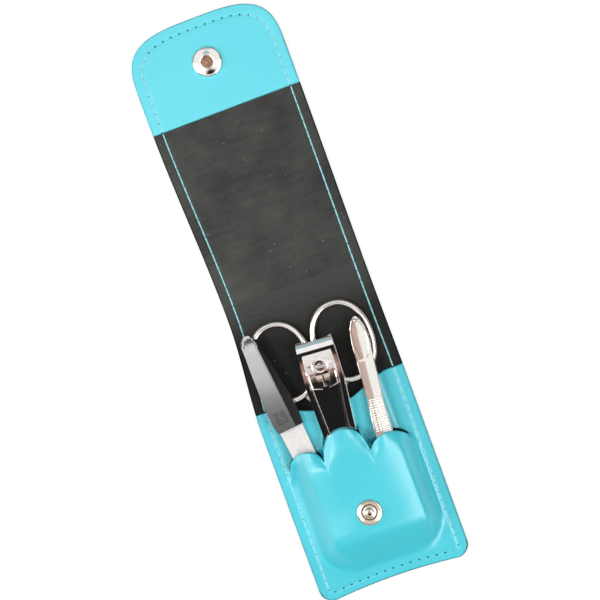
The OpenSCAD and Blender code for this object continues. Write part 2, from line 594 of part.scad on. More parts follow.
// One half seen from above with its ring on the right; layer is the height of its flat
module scissors_half(layer) {
    translate([ring_side, ring_y, 0]) finger_ring();
    translate([0, 0, layer]) linear_extrude(blade_t) difference() {
        polygon([[0.3, -blade_l], [2, -blade_l + 12], [3.3, -8], [3.4, 3], [3.4, 12], [4.6, 20],
            [8.3, 26], [6.6, 27.2], [1.4, 18], [-1, 6], [-3.3, 3], [-3.3, -4], [-2.2, -12],
            [-0.3, -blade_l]]);
        circle(screw_r + running_gap);
    }
}
upper_layer = blade_t + running_gap;
module in_scissors_frame() translate([scissors_x, pivot_y, scissors_z]) children();
module scissors_right_half() color("silver") in_scissors_frame() scissors_half(upper_layer);
module scissors_left_half() color("silver") in_scissors_frame() mirror([1, 0, 0]) scissors_half(0);
screw_head_t = 0.33;
module scissors_screw() color("gray") in_scissors_frame() difference() {
    union() {
        cylinder(r = screw_r, h = upper_layer + blade_t + 0.04);
        translate([0, 0, upper_layer + blade_t + 0.02]) cylinder(r = 2.9, h = screw_head_t);
    }
    translate([-3.5, -0.3, upper_layer + blade_t + 0.2]) cube([7, 0.6, 1]);
}

base_shell();
spine_shell();
cover_shell();
base_lining();
spine_lining();
cover_lining();
base_board();
cover_board();
cover_facing();
pocket_panel();
base_stitching();
spine_stitching();
cover_stitching();
snap_cap();
snap_socket();
snap_stud();
snap_rivet();
file_blade();
file_handle();
clipper_lower_jaw();
clipper_upper_jaw();
clipper_lever();
clipper_post();
clipper_cross_pin();
clipper_rivet();
tweezers_back_arm();
tweezers_front_arm();
scissors_left_half();
scissors_right_half();
scissors_screw();
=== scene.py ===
# %% [markdown]
# A manicure set in a folding leather case, lying open on a table.
# The real object is a strip of coated leather with a thin lining, creased twice so that it shuts like
# a book, and a pocket of the same leather that holds a nail file, a nail clipper, tweezers and scissors.
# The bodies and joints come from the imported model. Here each piece gets its finish, and the soft
# leather, the thread and the polished steel are modelled again with the detail a camera sees.

# %% Load the frame
import math

import bmesh
import bpy
import numpy as np
from mathutils import Matrix, Vector


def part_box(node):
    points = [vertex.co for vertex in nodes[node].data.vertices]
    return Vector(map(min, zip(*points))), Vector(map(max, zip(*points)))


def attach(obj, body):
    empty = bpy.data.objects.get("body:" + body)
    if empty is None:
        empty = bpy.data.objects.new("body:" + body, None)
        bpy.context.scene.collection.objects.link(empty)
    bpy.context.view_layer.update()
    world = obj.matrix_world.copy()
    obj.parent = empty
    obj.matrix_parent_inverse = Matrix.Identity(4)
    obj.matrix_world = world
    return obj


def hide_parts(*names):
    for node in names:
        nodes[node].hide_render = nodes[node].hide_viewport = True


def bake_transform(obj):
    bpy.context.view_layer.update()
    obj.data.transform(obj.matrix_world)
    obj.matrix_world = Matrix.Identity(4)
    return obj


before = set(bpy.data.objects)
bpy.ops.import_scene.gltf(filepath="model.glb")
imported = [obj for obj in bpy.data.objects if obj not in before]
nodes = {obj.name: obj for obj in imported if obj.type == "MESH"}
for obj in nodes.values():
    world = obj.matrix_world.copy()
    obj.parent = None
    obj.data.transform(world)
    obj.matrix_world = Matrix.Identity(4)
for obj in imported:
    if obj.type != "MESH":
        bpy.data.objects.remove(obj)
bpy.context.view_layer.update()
MM = 0.001
print("nodes in the frame:", len(nodes))

# %% [markdown]
# The sizes of the case, in millimetres. What can be measured on the frame, such as the folds, is read
# from it, so nothing drifts apart. The others repeat the driving sizes of the part's source.

# %% Sizes of the case
def box_mm(node):
    low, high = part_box(node)
    return [c / MM for c in low], [c / MM for c in high]


def middle_of(node):
    """Middle of a node's box, across and along the case."""
    low, high = box_mm(node)
    return (low[0] + high[0]) / 2, (low[1] + high[1]) / 2


CASE_W = 56.0
POCKET_END = -106.15
FLAP_END = box_mm("cover_shell")[1][1]
FOLD_BASE = box_mm("base_shell")[1][1]
FOLD_COVER = box_mm("cover_shell")[0][1]
SHELL_T = box_mm("base_shell")[1][2]
SLAB_T = box_mm("base_lining")[1][2]
FACING_Y = box_mm("cover_facing")[0][1]
FACING_TOP = box_mm("cover_facing")[1][2]
MOUTH_Y = box_mm("pocket_panel")[1][1]
PANEL_T = 0.8
BORDER_Z = SLAB_T + PANEL_T
POCKET_CORNER_R = 5.0
SCOOP_HALF = CASE_W / 2 - POCKET_CORNER_R
END_SCOOP = 1.3
FLAP_ROUND_L = 20.6
FLAP_POWER = 3.4
FLAP_ROUND_Y = FLAP_END - FLAP_ROUND_L
WAIST_LEFT, WAIST_RIGHT = 2.5, 0.3
WAIST_LOW, WAIST_HIGH = -42.0, 77.0
SEAM_INSET = 3.6
ROW_INSET = 2.9
print("case", round(CASE_W, 2), "mm wide,", round(FLAP_END - POCKET_END, 2), "mm long")

# %% Curves that shape the leather
def smooth(t):
    c = max(0.0, min(1.0, t))
    return c * c * (3 - 2 * c)


def mix(a, b, t):
    return a + (b - a) * t


def hump(q, p):
    """A bulge from -1 to 1: round for a power of two, fuller for a higher one."""
    return 0.0 if abs(q) >= 1 else (1 - abs(q) ** p) ** (1 / p)


def bell(d, width):
    """A soft hill of height one that has died away at about twice its width."""
    return math.exp(-(d / width) ** 2)


def signed_power(v, power):
    return math.copysign(abs(v) ** power, v)


def half_width(y, side):
    """Half width of the straight part of the case, drawn in at the fold, on one side of it."""
    t = (WAIST_HIGH - y) / WAIST_HIGH if y > 0 else (WAIST_LOW - y) / WAIST_LOW
    return CASE_W / 2 - (WAIST_LEFT if side < 0 else WAIST_RIGHT) * smooth(t)


def scoop_at(x):
    return END_SCOOP * max(0.0, 1 - (x / SCOOP_HALF) ** 2)


def end_low(x):
    """Edge of the leather at the pocket end: hollowed in the middle, round at the corners."""
    d = abs(x) - SCOOP_HALF
    if d <= 0:
        return POCKET_END + scoop_at(x)
    return POCKET_END + POCKET_CORNER_R - math.sqrt(max(0.0, POCKET_CORNER_R ** 2 - d * d))


def end_high(x):
    """Edge of the leather at the flap end, a full curve that is squarer than an ellipse."""
    q = min(1.0, abs(x) / (CASE_W / 2))
    return FLAP_ROUND_Y + FLAP_ROUND_L * (1 - q ** FLAP_POWER) ** (1 / FLAP_POWER)


def flap_curve(inset, n):
    """The same curve drawn in by an inset, as n steps from its right end to its left end."""
    half, length = CASE_W / 2 - inset, FLAP_ROUND_L - inset
    turns = [math.pi * k / n for k in range(n + 1)]
    return [(signed_power(math.cos(a), 2 / FLAP_POWER) * half,
             FLAP_ROUND_Y + abs(math.sin(a)) ** (2 / FLAP_POWER) * length) for a in turns]


# %% [markdown]
# Every leather piece is a sheet with a cut edge. One makes its upper face as a grid of points, and the
# rest follows from that face: a lower face one thickness down, and between them a wall that starts and
# ends with a small round. Light runs along that round as it does on real leather, and the wall itself
# shows the raw, duller core, so it gets a material of its own.

# %% Meshes from points
def link(obj):
    bpy.context.scene.collection.objects.link(obj)
    return obj


def mesh_object(name, points, faces):
    mesh = bpy.data.meshes.new(name)
    mesh.from_pydata([tuple(c * MM for c in p) for p in points], [], faces)
    mesh.update()
    return link(bpy.data.objects.new(name, mesh))


def bake_modifiers(obj):
    """Applies every modifier, so that the mesh itself holds the shape."""
    graph = bpy.context.evaluated_depsgraph_get()
    mesh = bpy.data.meshes.new_from_object(obj.evaluated_get(graph))
    obj.modifiers.clear()
    obj.data = mesh


def shade_smooth(obj, degrees=40):
    """Shades as one smooth surface, but for the edges that turn by more than this."""
    obj.data.shade_smooth()
    obj.data.set_sharp_from_angle(angle=math.radians(degrees))
    return obj


def bmesh_object(name, bm, degrees=40):
    mesh = bpy.data.meshes.new(name)
    bm.to_mesh(mesh)
    bm.free()
    return shade_smooth(link(bpy.data.objects.new(name, mesh)), degrees)


def grid_faces(n_rows, n_cols):
    return [(j * n_cols + i, j * n_cols + i + 1, (j + 1) * n_cols + i + 1, (j + 1) * n_cols + i)
            for j in range(n_rows - 1) for i in range(n_cols - 1)]


def steps(a, b, n):
    return [a + (b - a) * k / n for k in range(n + 1)]


# %% Cut leather
WALL_STEPS = 7
RAW_BAND = range(2, 5)
ROUND_ANGLES = (0.0, 0.52, 1.05, 1.57)
EDGE_LEAN = 0.22
def outward_at(bm):
    """For every vertex on a free edge of a flat-lying face, the way out of the leather."""
    out = {}
    for e in bm.edges:
        if len(e.link_faces) == 1:
            across = (e.verts[1].co - e.verts[0].co).cross(Vector((0, 0, 1)))
            away = (e.verts[0].co + e.verts[1].co) / 2 - e.link_faces[0].calc_center_median()
            if across.dot(away) < 0:
                across.negate()
            across.z = 0
            for v in e.verts:
                out[v] = out.get(v, Vector()) + across.normalized()
    return {v: o.normalized() if o.length > 0.3 else Vector() for v, o in out.items()}


def cut_leather(obj, thickness, rounding=0.16, plain_y=None, under=None):
    """Gives the upper face in obj its thickness and a rounded raw edge that leans out as it goes down.
    An edge on the line plain_y is a joint inside the leather and drops straight down. If there is a
    function under, it gives the heights of the lower face."""
    bm = bmesh.new()
    bm.from_mesh(obj.data)
    bmesh.ops.remove_doubles(bm, verts=bm.verts, dist=0.004 * MM)
    bmesh.ops.dissolve_degenerate(bm, edges=bm.edges, dist=0.001 * MM)
    out = outward_at(bm)
    rims = [e for e in bm.edges if len(e.link_faces) == 1]
    tops = list(bm.faces)
    lower = {v: bm.verts.new(v.co - Vector((0, 0, thickness * MM))) for v in list(bm.verts)}
    if under:
        for v, w in lower.items():
            w.co.z = under(v.co.x / MM, v.co.y / MM) * MM
    r = rounding
    arc = [(r * math.sin(a), r * math.cos(a)) for a in ROUND_ANGLES]
    rings = {}
    for v, o in out.items():
        top, bottom = v.co.copy(), lower[v].co.copy()
        if plain_y is not None and abs(top.y / MM - plain_y) < 0.01:
            between = [bm.verts.new(top.lerp(bottom, k / WALL_STEPS)) for k in range(1, WALL_STEPS)]
            rings[v] = [v] + between + [lower[v]]
            continue
        down = [top + o * (x - r - EDGE_LEAN) * MM + Vector((0, 0, (z - r) * MM)) for x, z in arc]
        up = [bottom + o * (x - r) * MM - Vector((0, 0, (z - r) * MM)) for x, z in reversed(arc)]
        v.co, lower[v].co = down[0], up[-1]
        rings[v] = [v] + [bm.verts.new(p) for p in down[1:] + up[:-1]] + [lower[v]]
    for f in tops:
        bm.faces.new([lower[v] for v in reversed(f.verts)])
    for e in rims:
        a, b = e.link_loops[0].vert, e.link_loops[0].link_loop_next.vert
        for k in range(WALL_STEPS):
            quad = [rings[b][k], rings[a][k], rings[a][k + 1], rings[b][k + 1]]
            bm.faces.new(quad).material_index = 1 if k in RAW_BAND else 0
    bm.to_mesh(obj.data)
    bm.free()
    return shade_smooth(obj, 55)


# %% [markdown]
# Materials. The coated leather is smooth and slightly glossy with a very fine grain. Its colour is set
# straight on the shader, and noise only shifts it a little. The same recipe with other numbers gives
# the black lining, which is duller and shows long brushed streaks. On the pocket side the lining is a
# duller copy with painted shade: dark near the pocket, where the tools shade it, and an even grey
# towards the fold, where it meets the lining of the flap side.

# %% Material helpers
def new_material(name):
    mat = bpy.data.materials.new(name)
    mat.use_nodes = True
    return mat, mat.node_tree, mat.node_tree.nodes["Principled BSDF"]


def add(tree, kind, **values):
    node = tree.nodes.new(kind)
    for key, value in values.items():
        if key in node.inputs:
            node.inputs[key].default_value = value
        else:
            setattr(node, key, value)
    return node


def feed(tree, value, socket):
    """Links another node's output into a socket, or sets the socket to a constant."""
    if isinstance(value, bpy.types.NodeSocket):
        tree.links.new(value, socket)
    else:
        socket.default_value = value


def calculate(tree, operation, *values):
    node = add(tree, "ShaderNodeMath", operation=operation)
    for value, socket in zip(values, node.inputs):
        feed(tree, value, socket)
    return node.outputs[0]


def blend_colours(tree, share, first, second):
    """Mixes two colours. The node has sockets for every kind of value, and its colours are 6, 7 and 2."""
    node = add(tree, "ShaderNodeMix", data_type="RGBA")
    for value, socket in ((share, 0), (first, 6), (second, 7)):
        feed(tree, value, node.inputs[socket])
    return node.outputs[2]


def blend_shaders(tree, share, first, second):
    node = tree.nodes.new("ShaderNodeMixShader")
    for value, socket in zip((share, first, second), node.inputs):
        feed(tree, value, socket)
    return node.outputs[0]


def object_coords(tree, scale=(1, 1, 1)):
    coords = tree.nodes.new("ShaderNodeTexCoord")
    mapping = tree.nodes.new("ShaderNodeMapping")
    mapping.inputs["Scale"].default_value = scale
    tree.links.new(coords.outputs["Object"], mapping.inputs["Vector"])
    return mapping.outputs["Vector"]


def noise_on(tree, vector, scale, detail=3.0, roughness=0.55):
    node = add(tree, "ShaderNodeTexNoise", Scale=scale, Detail=detail, Roughness=roughness)
    tree.links.new(vector, node.inputs["Vector"])
    return node.outputs["Fac"]


def ramp(tree, fac, stops):
    node = tree.nodes.new("ShaderNodeValToRGB")
    while len(node.color_ramp.elements) < len(stops):
        node.color_ramp.elements.new(0.5)
    for element, (place, colour) in zip(node.color_ramp.elements, stops):
        element.position = place
        element.color = (*colour, 1)
    tree.links.new(fac, node.inputs["Fac"])
    return node.outputs["Color"]


def bump_chain(tree, shader, layers):
    """Adds up height layers, each (height socket, strength, distance in millimetres)."""
    last = None
    for height, strength, distance in layers:
        node = add(tree, "ShaderNodeBump", Strength=strength, Distance=distance * MM)
        tree.links.new(height, node.inputs["Height"])
        if last:
            tree.links.new(last.outputs["Normal"], node.inputs["Normal"])
        last = node
    tree.links.new(last.outputs["Normal"], shader.inputs["Normal"])


def leather(name, dark, light, rough, coat, streak=None, shine=0.5):
    mat, tree, shader = new_material(name)
    place = object_coords(tree)
    cloud = noise_on(tree, place, 45, 4)
    tree.links.new(ramp(tree, cloud, [(0.3, dark), (0.7, light)]), shader.inputs["Base Color"])
    shader.inputs["Roughness"].default_value = rough
    shader.inputs["Specular IOR Level"].default_value = shine
    shader.inputs["Coat Weight"].default_value = coat
    shader.inputs["Coat Roughness"].default_value = 0.34
    grain = add(tree, "ShaderNodeTexVoronoi", Scale=2600.0)
    tree.links.new(place, grain.inputs["Vector"])
    layers = [(grain.outputs["Distance"], 0.06, 0.05), (noise_on(tree, place, 160, 5), 0.12, 0.25)]
    if streak:
        layers.append((noise_on(tree, object_coords(tree, streak), 1.0, 3), 0.15, 0.08))
    bump_chain(tree, shader, layers)
    return mat


def black_lining(name, shine):
    return leather(name, (0.013, 0.0132, 0.012), (0.024, 0.0238, 0.0218), 0.5, 0.06,
                   streak=(2600, 120, 100), shine=shine)


turquoise = leather("turquoise_leather", (0.034, 0.52, 0.625), (0.045, 0.565, 0.67), 0.37, 0.9)
# Painted light: a lighter copy of the turquoise leather for the flap's facing, for the light and sheen the
# flat flap catches.
turquoise_painted_lighter = leather("flap_leather_painted_light", (0.115, 0.66, 0.765), (0.135, 0.70, 0.805), 0.42, 0.15)
lining = black_lining("black_lining", 0.35)
# A duller copy of the lining for the pocket side, with painted shade: dark near the tools.
lining_with_painted_shade = black_lining("black_lining_painted_shade", 0.12)

# %% Wear, lint and painted shade on the lining
WORN_BLACK = (0.0080, 0.0082, 0.0071)
# the even grey that the painted shade fades into, away from the tools
UNSHADED_GREY = (0.0455, 0.0457, 0.0432, 1)
LINT = (0.22, 0.21, 0.19, 1)
BAND_SHARE, CLOUD_SHARE = 0.30, 0.70
DARKEST, PALEST = 0.3, 4.6
# how dark the painted shade makes the lining near the tools
PAINTED_SHADE_SHARE = 0.3
RARE_LINT = 0.86


def dust_and_painted_shade_on(mat, fade=None):
    """A worn black surface: brushed bands a little paler, and a few specks of lint. Between the two
    places along the case in fade, in metres, painted shade fades from dark near the tools into an
    even grey."""
    tree, shader = mat.node_tree, mat.node_tree.nodes["Principled BSDF"]
    bands = noise_on(tree, object_coords(tree, (70, 420, 100)), 1.0, 6, 0.7)
    clouds = noise_on(tree, object_coords(tree), 46, 5, 0.62)
    cloudy = calculate(tree, "MULTIPLY", clouds, CLOUD_SHARE)
    wear = calculate(tree, "MULTIPLY_ADD", bands, BAND_SHARE, cloudy)
    pale = ramp(tree, wear, [(0.40, tuple(DARKEST * c for c in WORN_BLACK)),
                             (0.62, tuple(PALEST * c for c in WORN_BLACK))])
    # Painted shade: dark towards the pocket, where the tools shade the lining, and an even grey towards the
    # fold.
    if fade:
        place = tree.nodes.new("ShaderNodeSeparateXYZ")
        tree.links.new(object_coords(tree), place.inputs[0])
        strength = add(tree, "ShaderNodeMapRange", interpolation_type="SMOOTHSTEP",
                       **{"From Min": fade[0], "From Max": fade[1]})
        tree.links.new(place.outputs["Y"], strength.inputs["Value"])
        shaded_tone = add(tree, "ShaderNodeVectorMath", operation="SCALE", Scale=PAINTED_SHADE_SHARE)
        tree.links.new(pale, shaded_tone.inputs[0])
        pale = blend_colours(tree, strength.outputs["Result"], shaded_tone.outputs[0], UNSHADED_GREY)
    cells = add(tree, "ShaderNodeTexVoronoi", Scale=420.0)
    tree.links.new(object_coords(tree), cells.inputs["Vector"])
    specks = ramp(tree, cells.outputs["Distance"], [(0.06, (1, 1, 1)), (0.10, (0, 0, 0))])
    chance = tree.nodes.new("ShaderNodeSeparateColor")
    tree.links.new(cells.outputs["Color"], chance.inputs[0])
    rare = calculate(tree, "GREATER_THAN", chance.outputs[0], RARE_LINT)
    lint = calculate(tree, "MULTIPLY", rare, specks)
    tree.links.new(blend_colours(tree, lint, pale, LINT), shader.inputs["Base Color"])


dust_and_painted_shade_on(lining)
# The pocket side of the lining gets painted shade, dark near the tools.
dust_and_painted_shade_on(lining_with_painted_shade, fade=(-0.015, 0.004))

# %% Raw leather, needle holes and card
def speckled(name, scale, detail, dark, light, rough, bump=None):
    """A dull material that wavers between two tones. With bump, its strength and height in
    millimetres, the same noise roughens the surface."""
    mat, tree, shader = new_material(name)
    noise = noise_on(tree, object_coords(tree), scale, detail)
    tree.links.new(ramp(tree, noise, [(0.3, dark), (0.7, light)]), shader.inputs["Base Color"])
    shader.inputs["Roughness"].default_value = rough
    if bump:
        bump_chain(tree, shader, [(noise, *bump)])
    return mat


edge_core = speckled("raw_leather_edge", 1800, 3, (0.16, 0.17, 0.165), (0.30, 0.28, 0.25), 0.85, (0.4, 0.08))
# Painted shade: the needle holes are dark dots for the hollow that the thread goes into.
hole_shade = speckled("needle_hole_shade", 2000, 1, (0.01, 0.06, 0.08), (0.02, 0.12, 0.15), 0.9)
card = speckled("grey_card", 900, 3, (0.42, 0.35, 0.26), (0.52, 0.44, 0.33), 0.9)

# %% [markdown]
# Metal. Polished steel has almost no colour of its own: what one sees is the room. So it is a mirror
# with a little roughness and very fine lines from the polishing wheel. Thread is twisted, which a
# slanted wave shows well enough at this size.

# %% Metal, plastic and thread
def metal(name, colour, rough, lines=(300, 300, 300), strength=0.05):
    mat, tree, shader = new_material(name)
    shader.inputs["Metallic"].default_value = 1.0
    place = object_coords(tree, lines)
    fine = noise_on(tree, place, 1.0, 4)
    darker = tuple(0.93 * c for c in colour)
    tree.links.new(ramp(tree, fine, [(0.3, darker), (0.7, colour)]), shader.inputs["Base Color"])
    rough_mix = add(tree, "ShaderNodeMapRange", **{"To Min": rough * 0.75, "To Max": rough * 1.3})
    tree.links.new(fine, rough_mix.inputs["Value"])
    tree.links.new(rough_mix.outputs["Result"], shader.inputs["Roughness"])
    bump_chain(tree, shader, [(fine, strength, 0.05)])
    return mat


chrome = metal("polished_chrome", (0.93, 0.92, 0.91), 0.06)
nickel = metal("snap_nickel", (0.93, 0.90, 0.86), 0.10)
ring_steel = metal("scissor_steel", (0.93, 0.905, 0.87), 0.09)
# Painted shade and reflection: a dark brown disc seen through the socket's hole.
socket_hole_dark = metal("socket_hole_painted_dark", (0.27, 0.155, 0.105), 0.32)
# Painted reflection: the stud is a darker, warmer copy of the nickel, for the brown it mirrors.
stud_nickel_painted_reflection = metal("stud_nickel_painted_reflection", (0.70, 0.61, 0.51), 0.15)
satin = metal("tweezer_steel", (0.93, 0.90, 0.86), 0.13, (2200, 90, 300), 0.06)


def grit():
    mat, tree, shader = new_material("file_grit")
    place = object_coords(tree)
    cells = add(tree, "ShaderNodeTexVoronoi", Scale=5200.0)
    tree.links.new(place, cells.inputs["Vector"])
    pale, grey = (0.80, 0.775, 0.76), (0.50, 0.48, 0.47)
    colour = ramp(tree, cells.outputs["Distance"], [(0.1, pale), (0.8, grey)])
    tree.links.new(colour, shader.inputs["Base Color"])
    shader.inputs["Metallic"].default_value = 0.35
    shader.inputs["Roughness"].default_value = 0.55
    bump_chain(tree, shader, [(cells.outputs["Distance"], 0.5, 0.08),
                              (noise_on(tree, place, 3000, 2), 0.3, 0.05)])
    return mat


def plastic():
    mat, tree, shader = new_material("handle_plastic")
    place = object_coords(tree)
    shader.inputs["Base Color"].default_value = (0.012, 0.012, 0.013, 1)
    shader.inputs["Roughness"].default_value = 0.16
    shader.inputs["Coat Weight"].default_value = 0.5
    shader.inputs["Coat Roughness"].default_value = 0.08
    bump_chain(tree, shader, [(noise_on(tree, place, 400, 2), 0.06, 0.1)])
    return mat


def thread_material():
    mat, tree, shader = new_material("turquoise_thread")
    wave = add(tree, "ShaderNodeTexWave", Scale=900.0, Distortion=1.0, bands_direction="DIAGONAL")
    tree.links.new(object_coords(tree), wave.inputs["Vector"])
    tree.links.new(ramp(tree, wave.outputs["Fac"], [(0.0, (0.22, 0.68, 0.77)), (1.0, (0.45, 0.88, 0.95))]),
                   shader.inputs["Base Color"])
    shader.inputs["Roughness"].default_value = 0.7
    shader.inputs["Sheen Weight"].default_value = 0.3
    bump_chain(tree, shader, [(wave.outputs["Fac"], 0.6, 0.08)])
    return mat


gritted = grit()
black_plastic = plastic()
thread = thread_material()

# %% Finishing a piece
def finish_piece(obj, material, body, slot, *replaced, edge=None):
    """Gives a piece its material, one for its raw edge if it has any, its body and what it replaces."""
    obj.data.materials.clear()
    obj.data.materials.append(material)
    if edge:
        obj.data.materials.append(edge)
    if body:
        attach(obj, body)
    if replaced:
        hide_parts(*replaced)
    return obj


# %% [markdown]
# The camera looks almost straight down. The case lies turned by twenty degrees in the picture, and one
# sees a little of the right-hand sides of things, so the camera stands a few degrees to the right.

# %% Camera
VIEW_MM = 213.9
TURN = math.radians(20)
LEAN = math.radians(5)
DISTANCE = 0.62
SENSOR = 36
target = Vector((1.25 * MM, -1.14 * MM, 0))
back = Vector((math.sin(LEAN), 0, math.cos(LEAN))).normalized()
up = back.cross(Vector((math.cos(TURN), -math.sin(TURN), 0))).normalized()
right = up.cross(back).normalized()
camera_data = bpy.data.cameras.new("camera")
camera = link(bpy.data.objects.new("camera", camera_data))
camera.matrix_world = Matrix((right, up, back)).transposed().to_4x4()
camera.location = target + back * DISTANCE
camera_data.sensor_width = SENSOR
camera_data.lens = SENSOR * DISTANCE / (VIEW_MM * MM)
bpy.context.scene.camera = camera
print("lens", round(camera_data.lens, 1))

# %% [markdown]
# Studio. The floor is white to the camera and keeps a faint shadow, and the world lights everything
# evenly. Polished steel shows only the room around it, so the room that mirrors see is painted with
# care, as soft patches on a white sky: a warm dark wall low down all round, a blue-green patch far
# behind, and overhead a few dark shapes. A patch is a direction and a width, mixed in by a dot product.

# %% Floor
FLOOR_HALF = 900
FLOOR_DROP = 0.02
FLOOR_GLOW = 1.06
GLOW_SHARE = 0.78


def make_floor():
    corners = [(x * FLOOR_HALF, y * FLOOR_HALF, 0) for x, y in ((-1, -1), (1, -1), (1, 1), (-1, 1))]
    floor = mesh_object("floor", corners, [(0, 1, 2, 3)])
    floor.location.z = -FLOOR_DROP * MM
    mat, tree, shader = new_material("white_floor")
    shader.inputs["Base Color"].default_value = (0.93, 0.93, 0.93, 1)
    shader.inputs["Roughness"].default_value = 0.8
    glow = add(tree, "ShaderNodeEmission", Color=(1, 1, 1, 1), Strength=FLOOR_GLOW)
    path = tree.nodes.new("ShaderNodeLightPath")
    share = calculate(tree, "MULTIPLY", path.outputs["Is Camera Ray"], GLOW_SHARE)
    tree.links.new(blend_shaders(tree, share, shader.outputs[0], glow.outputs[0]),
                   tree.nodes["Material Output"].inputs["Surface"])
    floor.data.materials.append(mat)


make_floor()

# %% Room that mirrors see
PLAIN_LIGHT = 0.16
ROOM_WHITE = (0.97, 0.965, 0.96)
# each patch: direction, half width and soft rim in degrees, colour
PATCHES = (
    ((0, 0, -1), 116, 14, (0.22, 0.125, 0.09)),
    ((0.1, 0.80, 0.62), 15, 6, (0.36, 0.50, 0.54)),
    ((1.11, 0.14, 1.0), 10, 6, (0.10, 0.085, 0.08)),
    ((-0.24, 0.0, 1.0), 3.8, 2.0, (0.42, 0.26, 0.20)),
    ((-0.24, 0.09, 1.0), 3.8, 2.0, (0.42, 0.26, 0.20)),
    ((-0.24, 0.18, 1.0), 3.8, 2.0, (0.42, 0.26, 0.20)),
    ((-0.09, -0.25, 1.0), 10.0, 2.5, (0.36, 0.20, 0.15)),
    ((-0.09, -0.26, 1.0), 7.6, 1.2, (0.012, 0.012, 0.013)),
)


def make_world():
    world = bpy.data.worlds.new("studio")
    bpy.context.scene.world = world
    world.use_nodes = True
    tree = world.node_tree
    plain = tree.nodes["Background"]
    plain.inputs["Color"].default_value = (1, 1, 1, 1)
    plain.inputs["Strength"].default_value = PLAIN_LIGHT
    sky = tree.nodes.new("ShaderNodeTexCoord").outputs["Generated"]
    colour = (*ROOM_WHITE, 1)
    for direction, width, rim, tint in PATCHES:
        dot = add(tree, "ShaderNodeVectorMath", operation="DOT_PRODUCT")
        dot.inputs[1].default_value = Vector(direction).normalized()
        tree.links.new(sky, dot.inputs[0])
        near = add(tree, "ShaderNodeMapRange", interpolation_type="SMOOTHSTEP",
                   **{"From Min": math.cos(math.radians(width + rim)),
                      "From Max": math.cos(math.radians(width))})
        tree.links.new(dot.outputs["Value"], near.inputs["Value"])
        colour = blend_colours(tree, near.outputs["Result"], colour, (*tint, 1))
    mirrored = add(tree, "ShaderNodeBackground", Strength=1.0)
    tree.links.new(colour, mirrored.inputs["Color"])
    backdrop = add(tree, "ShaderNodeBackground", Color=(1, 1, 1, 1), Strength=1.0)
    rays = tree.nodes.new("ShaderNodeLightPath").outputs
    seen = blend_shaders(tree, rays["Is Glossy Ray"], plain.outputs[0], mirrored.outputs[0])
    seen = blend_shaders(tree, rays["Is Camera Ray"], seen, backdrop.outputs[0])
    tree.links.new(seen, tree.nodes["World Output"].inputs["Surface"])


make_world()

# %% [markdown]
# Three soft boxes do the modelling. The small bright one on the left lies where the flat facet of the
# file's handle mirrors it, and a weaker one lower down fills the shadows on that side. The long one on
# the right draws the pale band down the right of the pocket.

# %% Soft boxes
LAMP_AWAY = 0.8


def make_lamp(name, lean_x, lean_y, width, length, radiance):
    """A soft box that leans from overhead by two angles, with the brightness it has in a mirror."""
    way = Vector((math.tan(math.radians(lean_x)), math.tan(math.radians(lean_y)), 1)).normalized()
    data = bpy.data.lights.new(name, "AREA")
    data.shape = "RECTANGLE"
    data.size, data.size_y = width, length
    data.energy = radiance * 4 * width * length
    lamp = link(bpy.data.objects.new(name, data))
    across = Vector((0, 1, 0)).cross(way).normalized()
    lamp.matrix_world = Matrix((across, way.cross(across), way)).transposed().to_4x4()
    lamp.location = way * LAMP_AWAY


make_lamp("left_box", -26, 4.8, 0.22, 0.30, 8.0)
make_lamp("left_fill", -64, 14, 0.50, 0.50, 3.0)
make_lamp("right_box", 29, -25, 0.36, 0.80, 3.9)
bpy.context.scene.view_settings.view_transform = "Standard"

# %% [markdown]
# The two leathers of the case, outside and lining. Each is cut in two pieces half way across the
# spine, and each piece spans one fold: from the base to the spine, and from the spine to the cover.
# Here every piece is built lying flat. Rows of points lie close together at the folds, where the
# leather bends, and at each end they fan out to meet the curved edge.

# %% Grid of the outer leather and the lining
MID_SPINE = (FOLD_BASE + FOLD_COVER) / 2
END_ZONE = 9.0
ROW_PITCH = 2.5
SNAP_MARK = (-0.9, 51.5)


def shares():
    """Places across the case from -1 to 1, closer in the middle, at the seams and at the edges."""
    seam = 1 - SEAM_INSET / (CASE_W / 2)
    half = [0, 0.012, 0.024, 0.036, 0.05] + steps(0.08, seam - 0.05, 20)
    half += [seam + d for d in (-0.03, -0.018, -0.009, 0, 0.009, 0.018, 0.03)]
    half += [0.93, 0.955, 0.975, 0.988, 0.995, 0.9985, 1.0]
    return [-s for s in reversed(half[1:])] + half


def straight_rows(y0, y1):
    """Places along the case, closer at the folds and at the mark that the stud has left."""
    ys = steps(y0, y1, max(1, int((y1 - y0) / ROW_PITCH)))
    for centre, before, after, n in ((FOLD_BASE, 3.2, 5.2, 90), (FOLD_COVER, 3.2, 3.2, 24),
                                     (SNAP_MARK[1], 2.4, 2.4, 16)):
        ys += [centre + d for d in steps(-before, after, n) if y0 < centre + d < y1]
    kept = []
    for y in sorted(ys):
        if not kept or y - kept[-1] > 0.05 or y == y1:
            kept.append(y)
    return kept


def plate(y0, y1, top):
    """Grid of points of a flat-lying sheet between two places along the case, ends following the edge."""
    low_line = y0 + END_ZONE if y0 <= POCKET_END else y0
    high_line = FLAP_ROUND_Y if y1 >= FLAP_END else y1

    def place(s, y):
        x = s * half_width(y, s)
        return (x, y, top(x, y))

    rows = []
    if y0 <= POCKET_END:
        for t in steps(0, 1, 14)[:-1]:
            rows.append([place(s, mix(end_low(s * CASE_W / 2), low_line, t)) for s in shares()])
    for y in straight_rows(low_line, high_line):
        rows.append([place(s, y) for s in shares()])
    if y1 >= FLAP_END:
        for t in steps(0, 1, 18)[1:]:
            rows.append([(s * CASE_W / 2, mix(high_line, end_high(s * CASE_W / 2), t),
                          top(s * CASE_W / 2, high_line)) for s in shares()])
    return rows


# %% Heights of the outer leather and the lining
CLEARANCE = 0.02
SEAM_DEPTH, SEAM_W = 0.14, 0.4
LINING_SEAM_DEPTH = 0.1
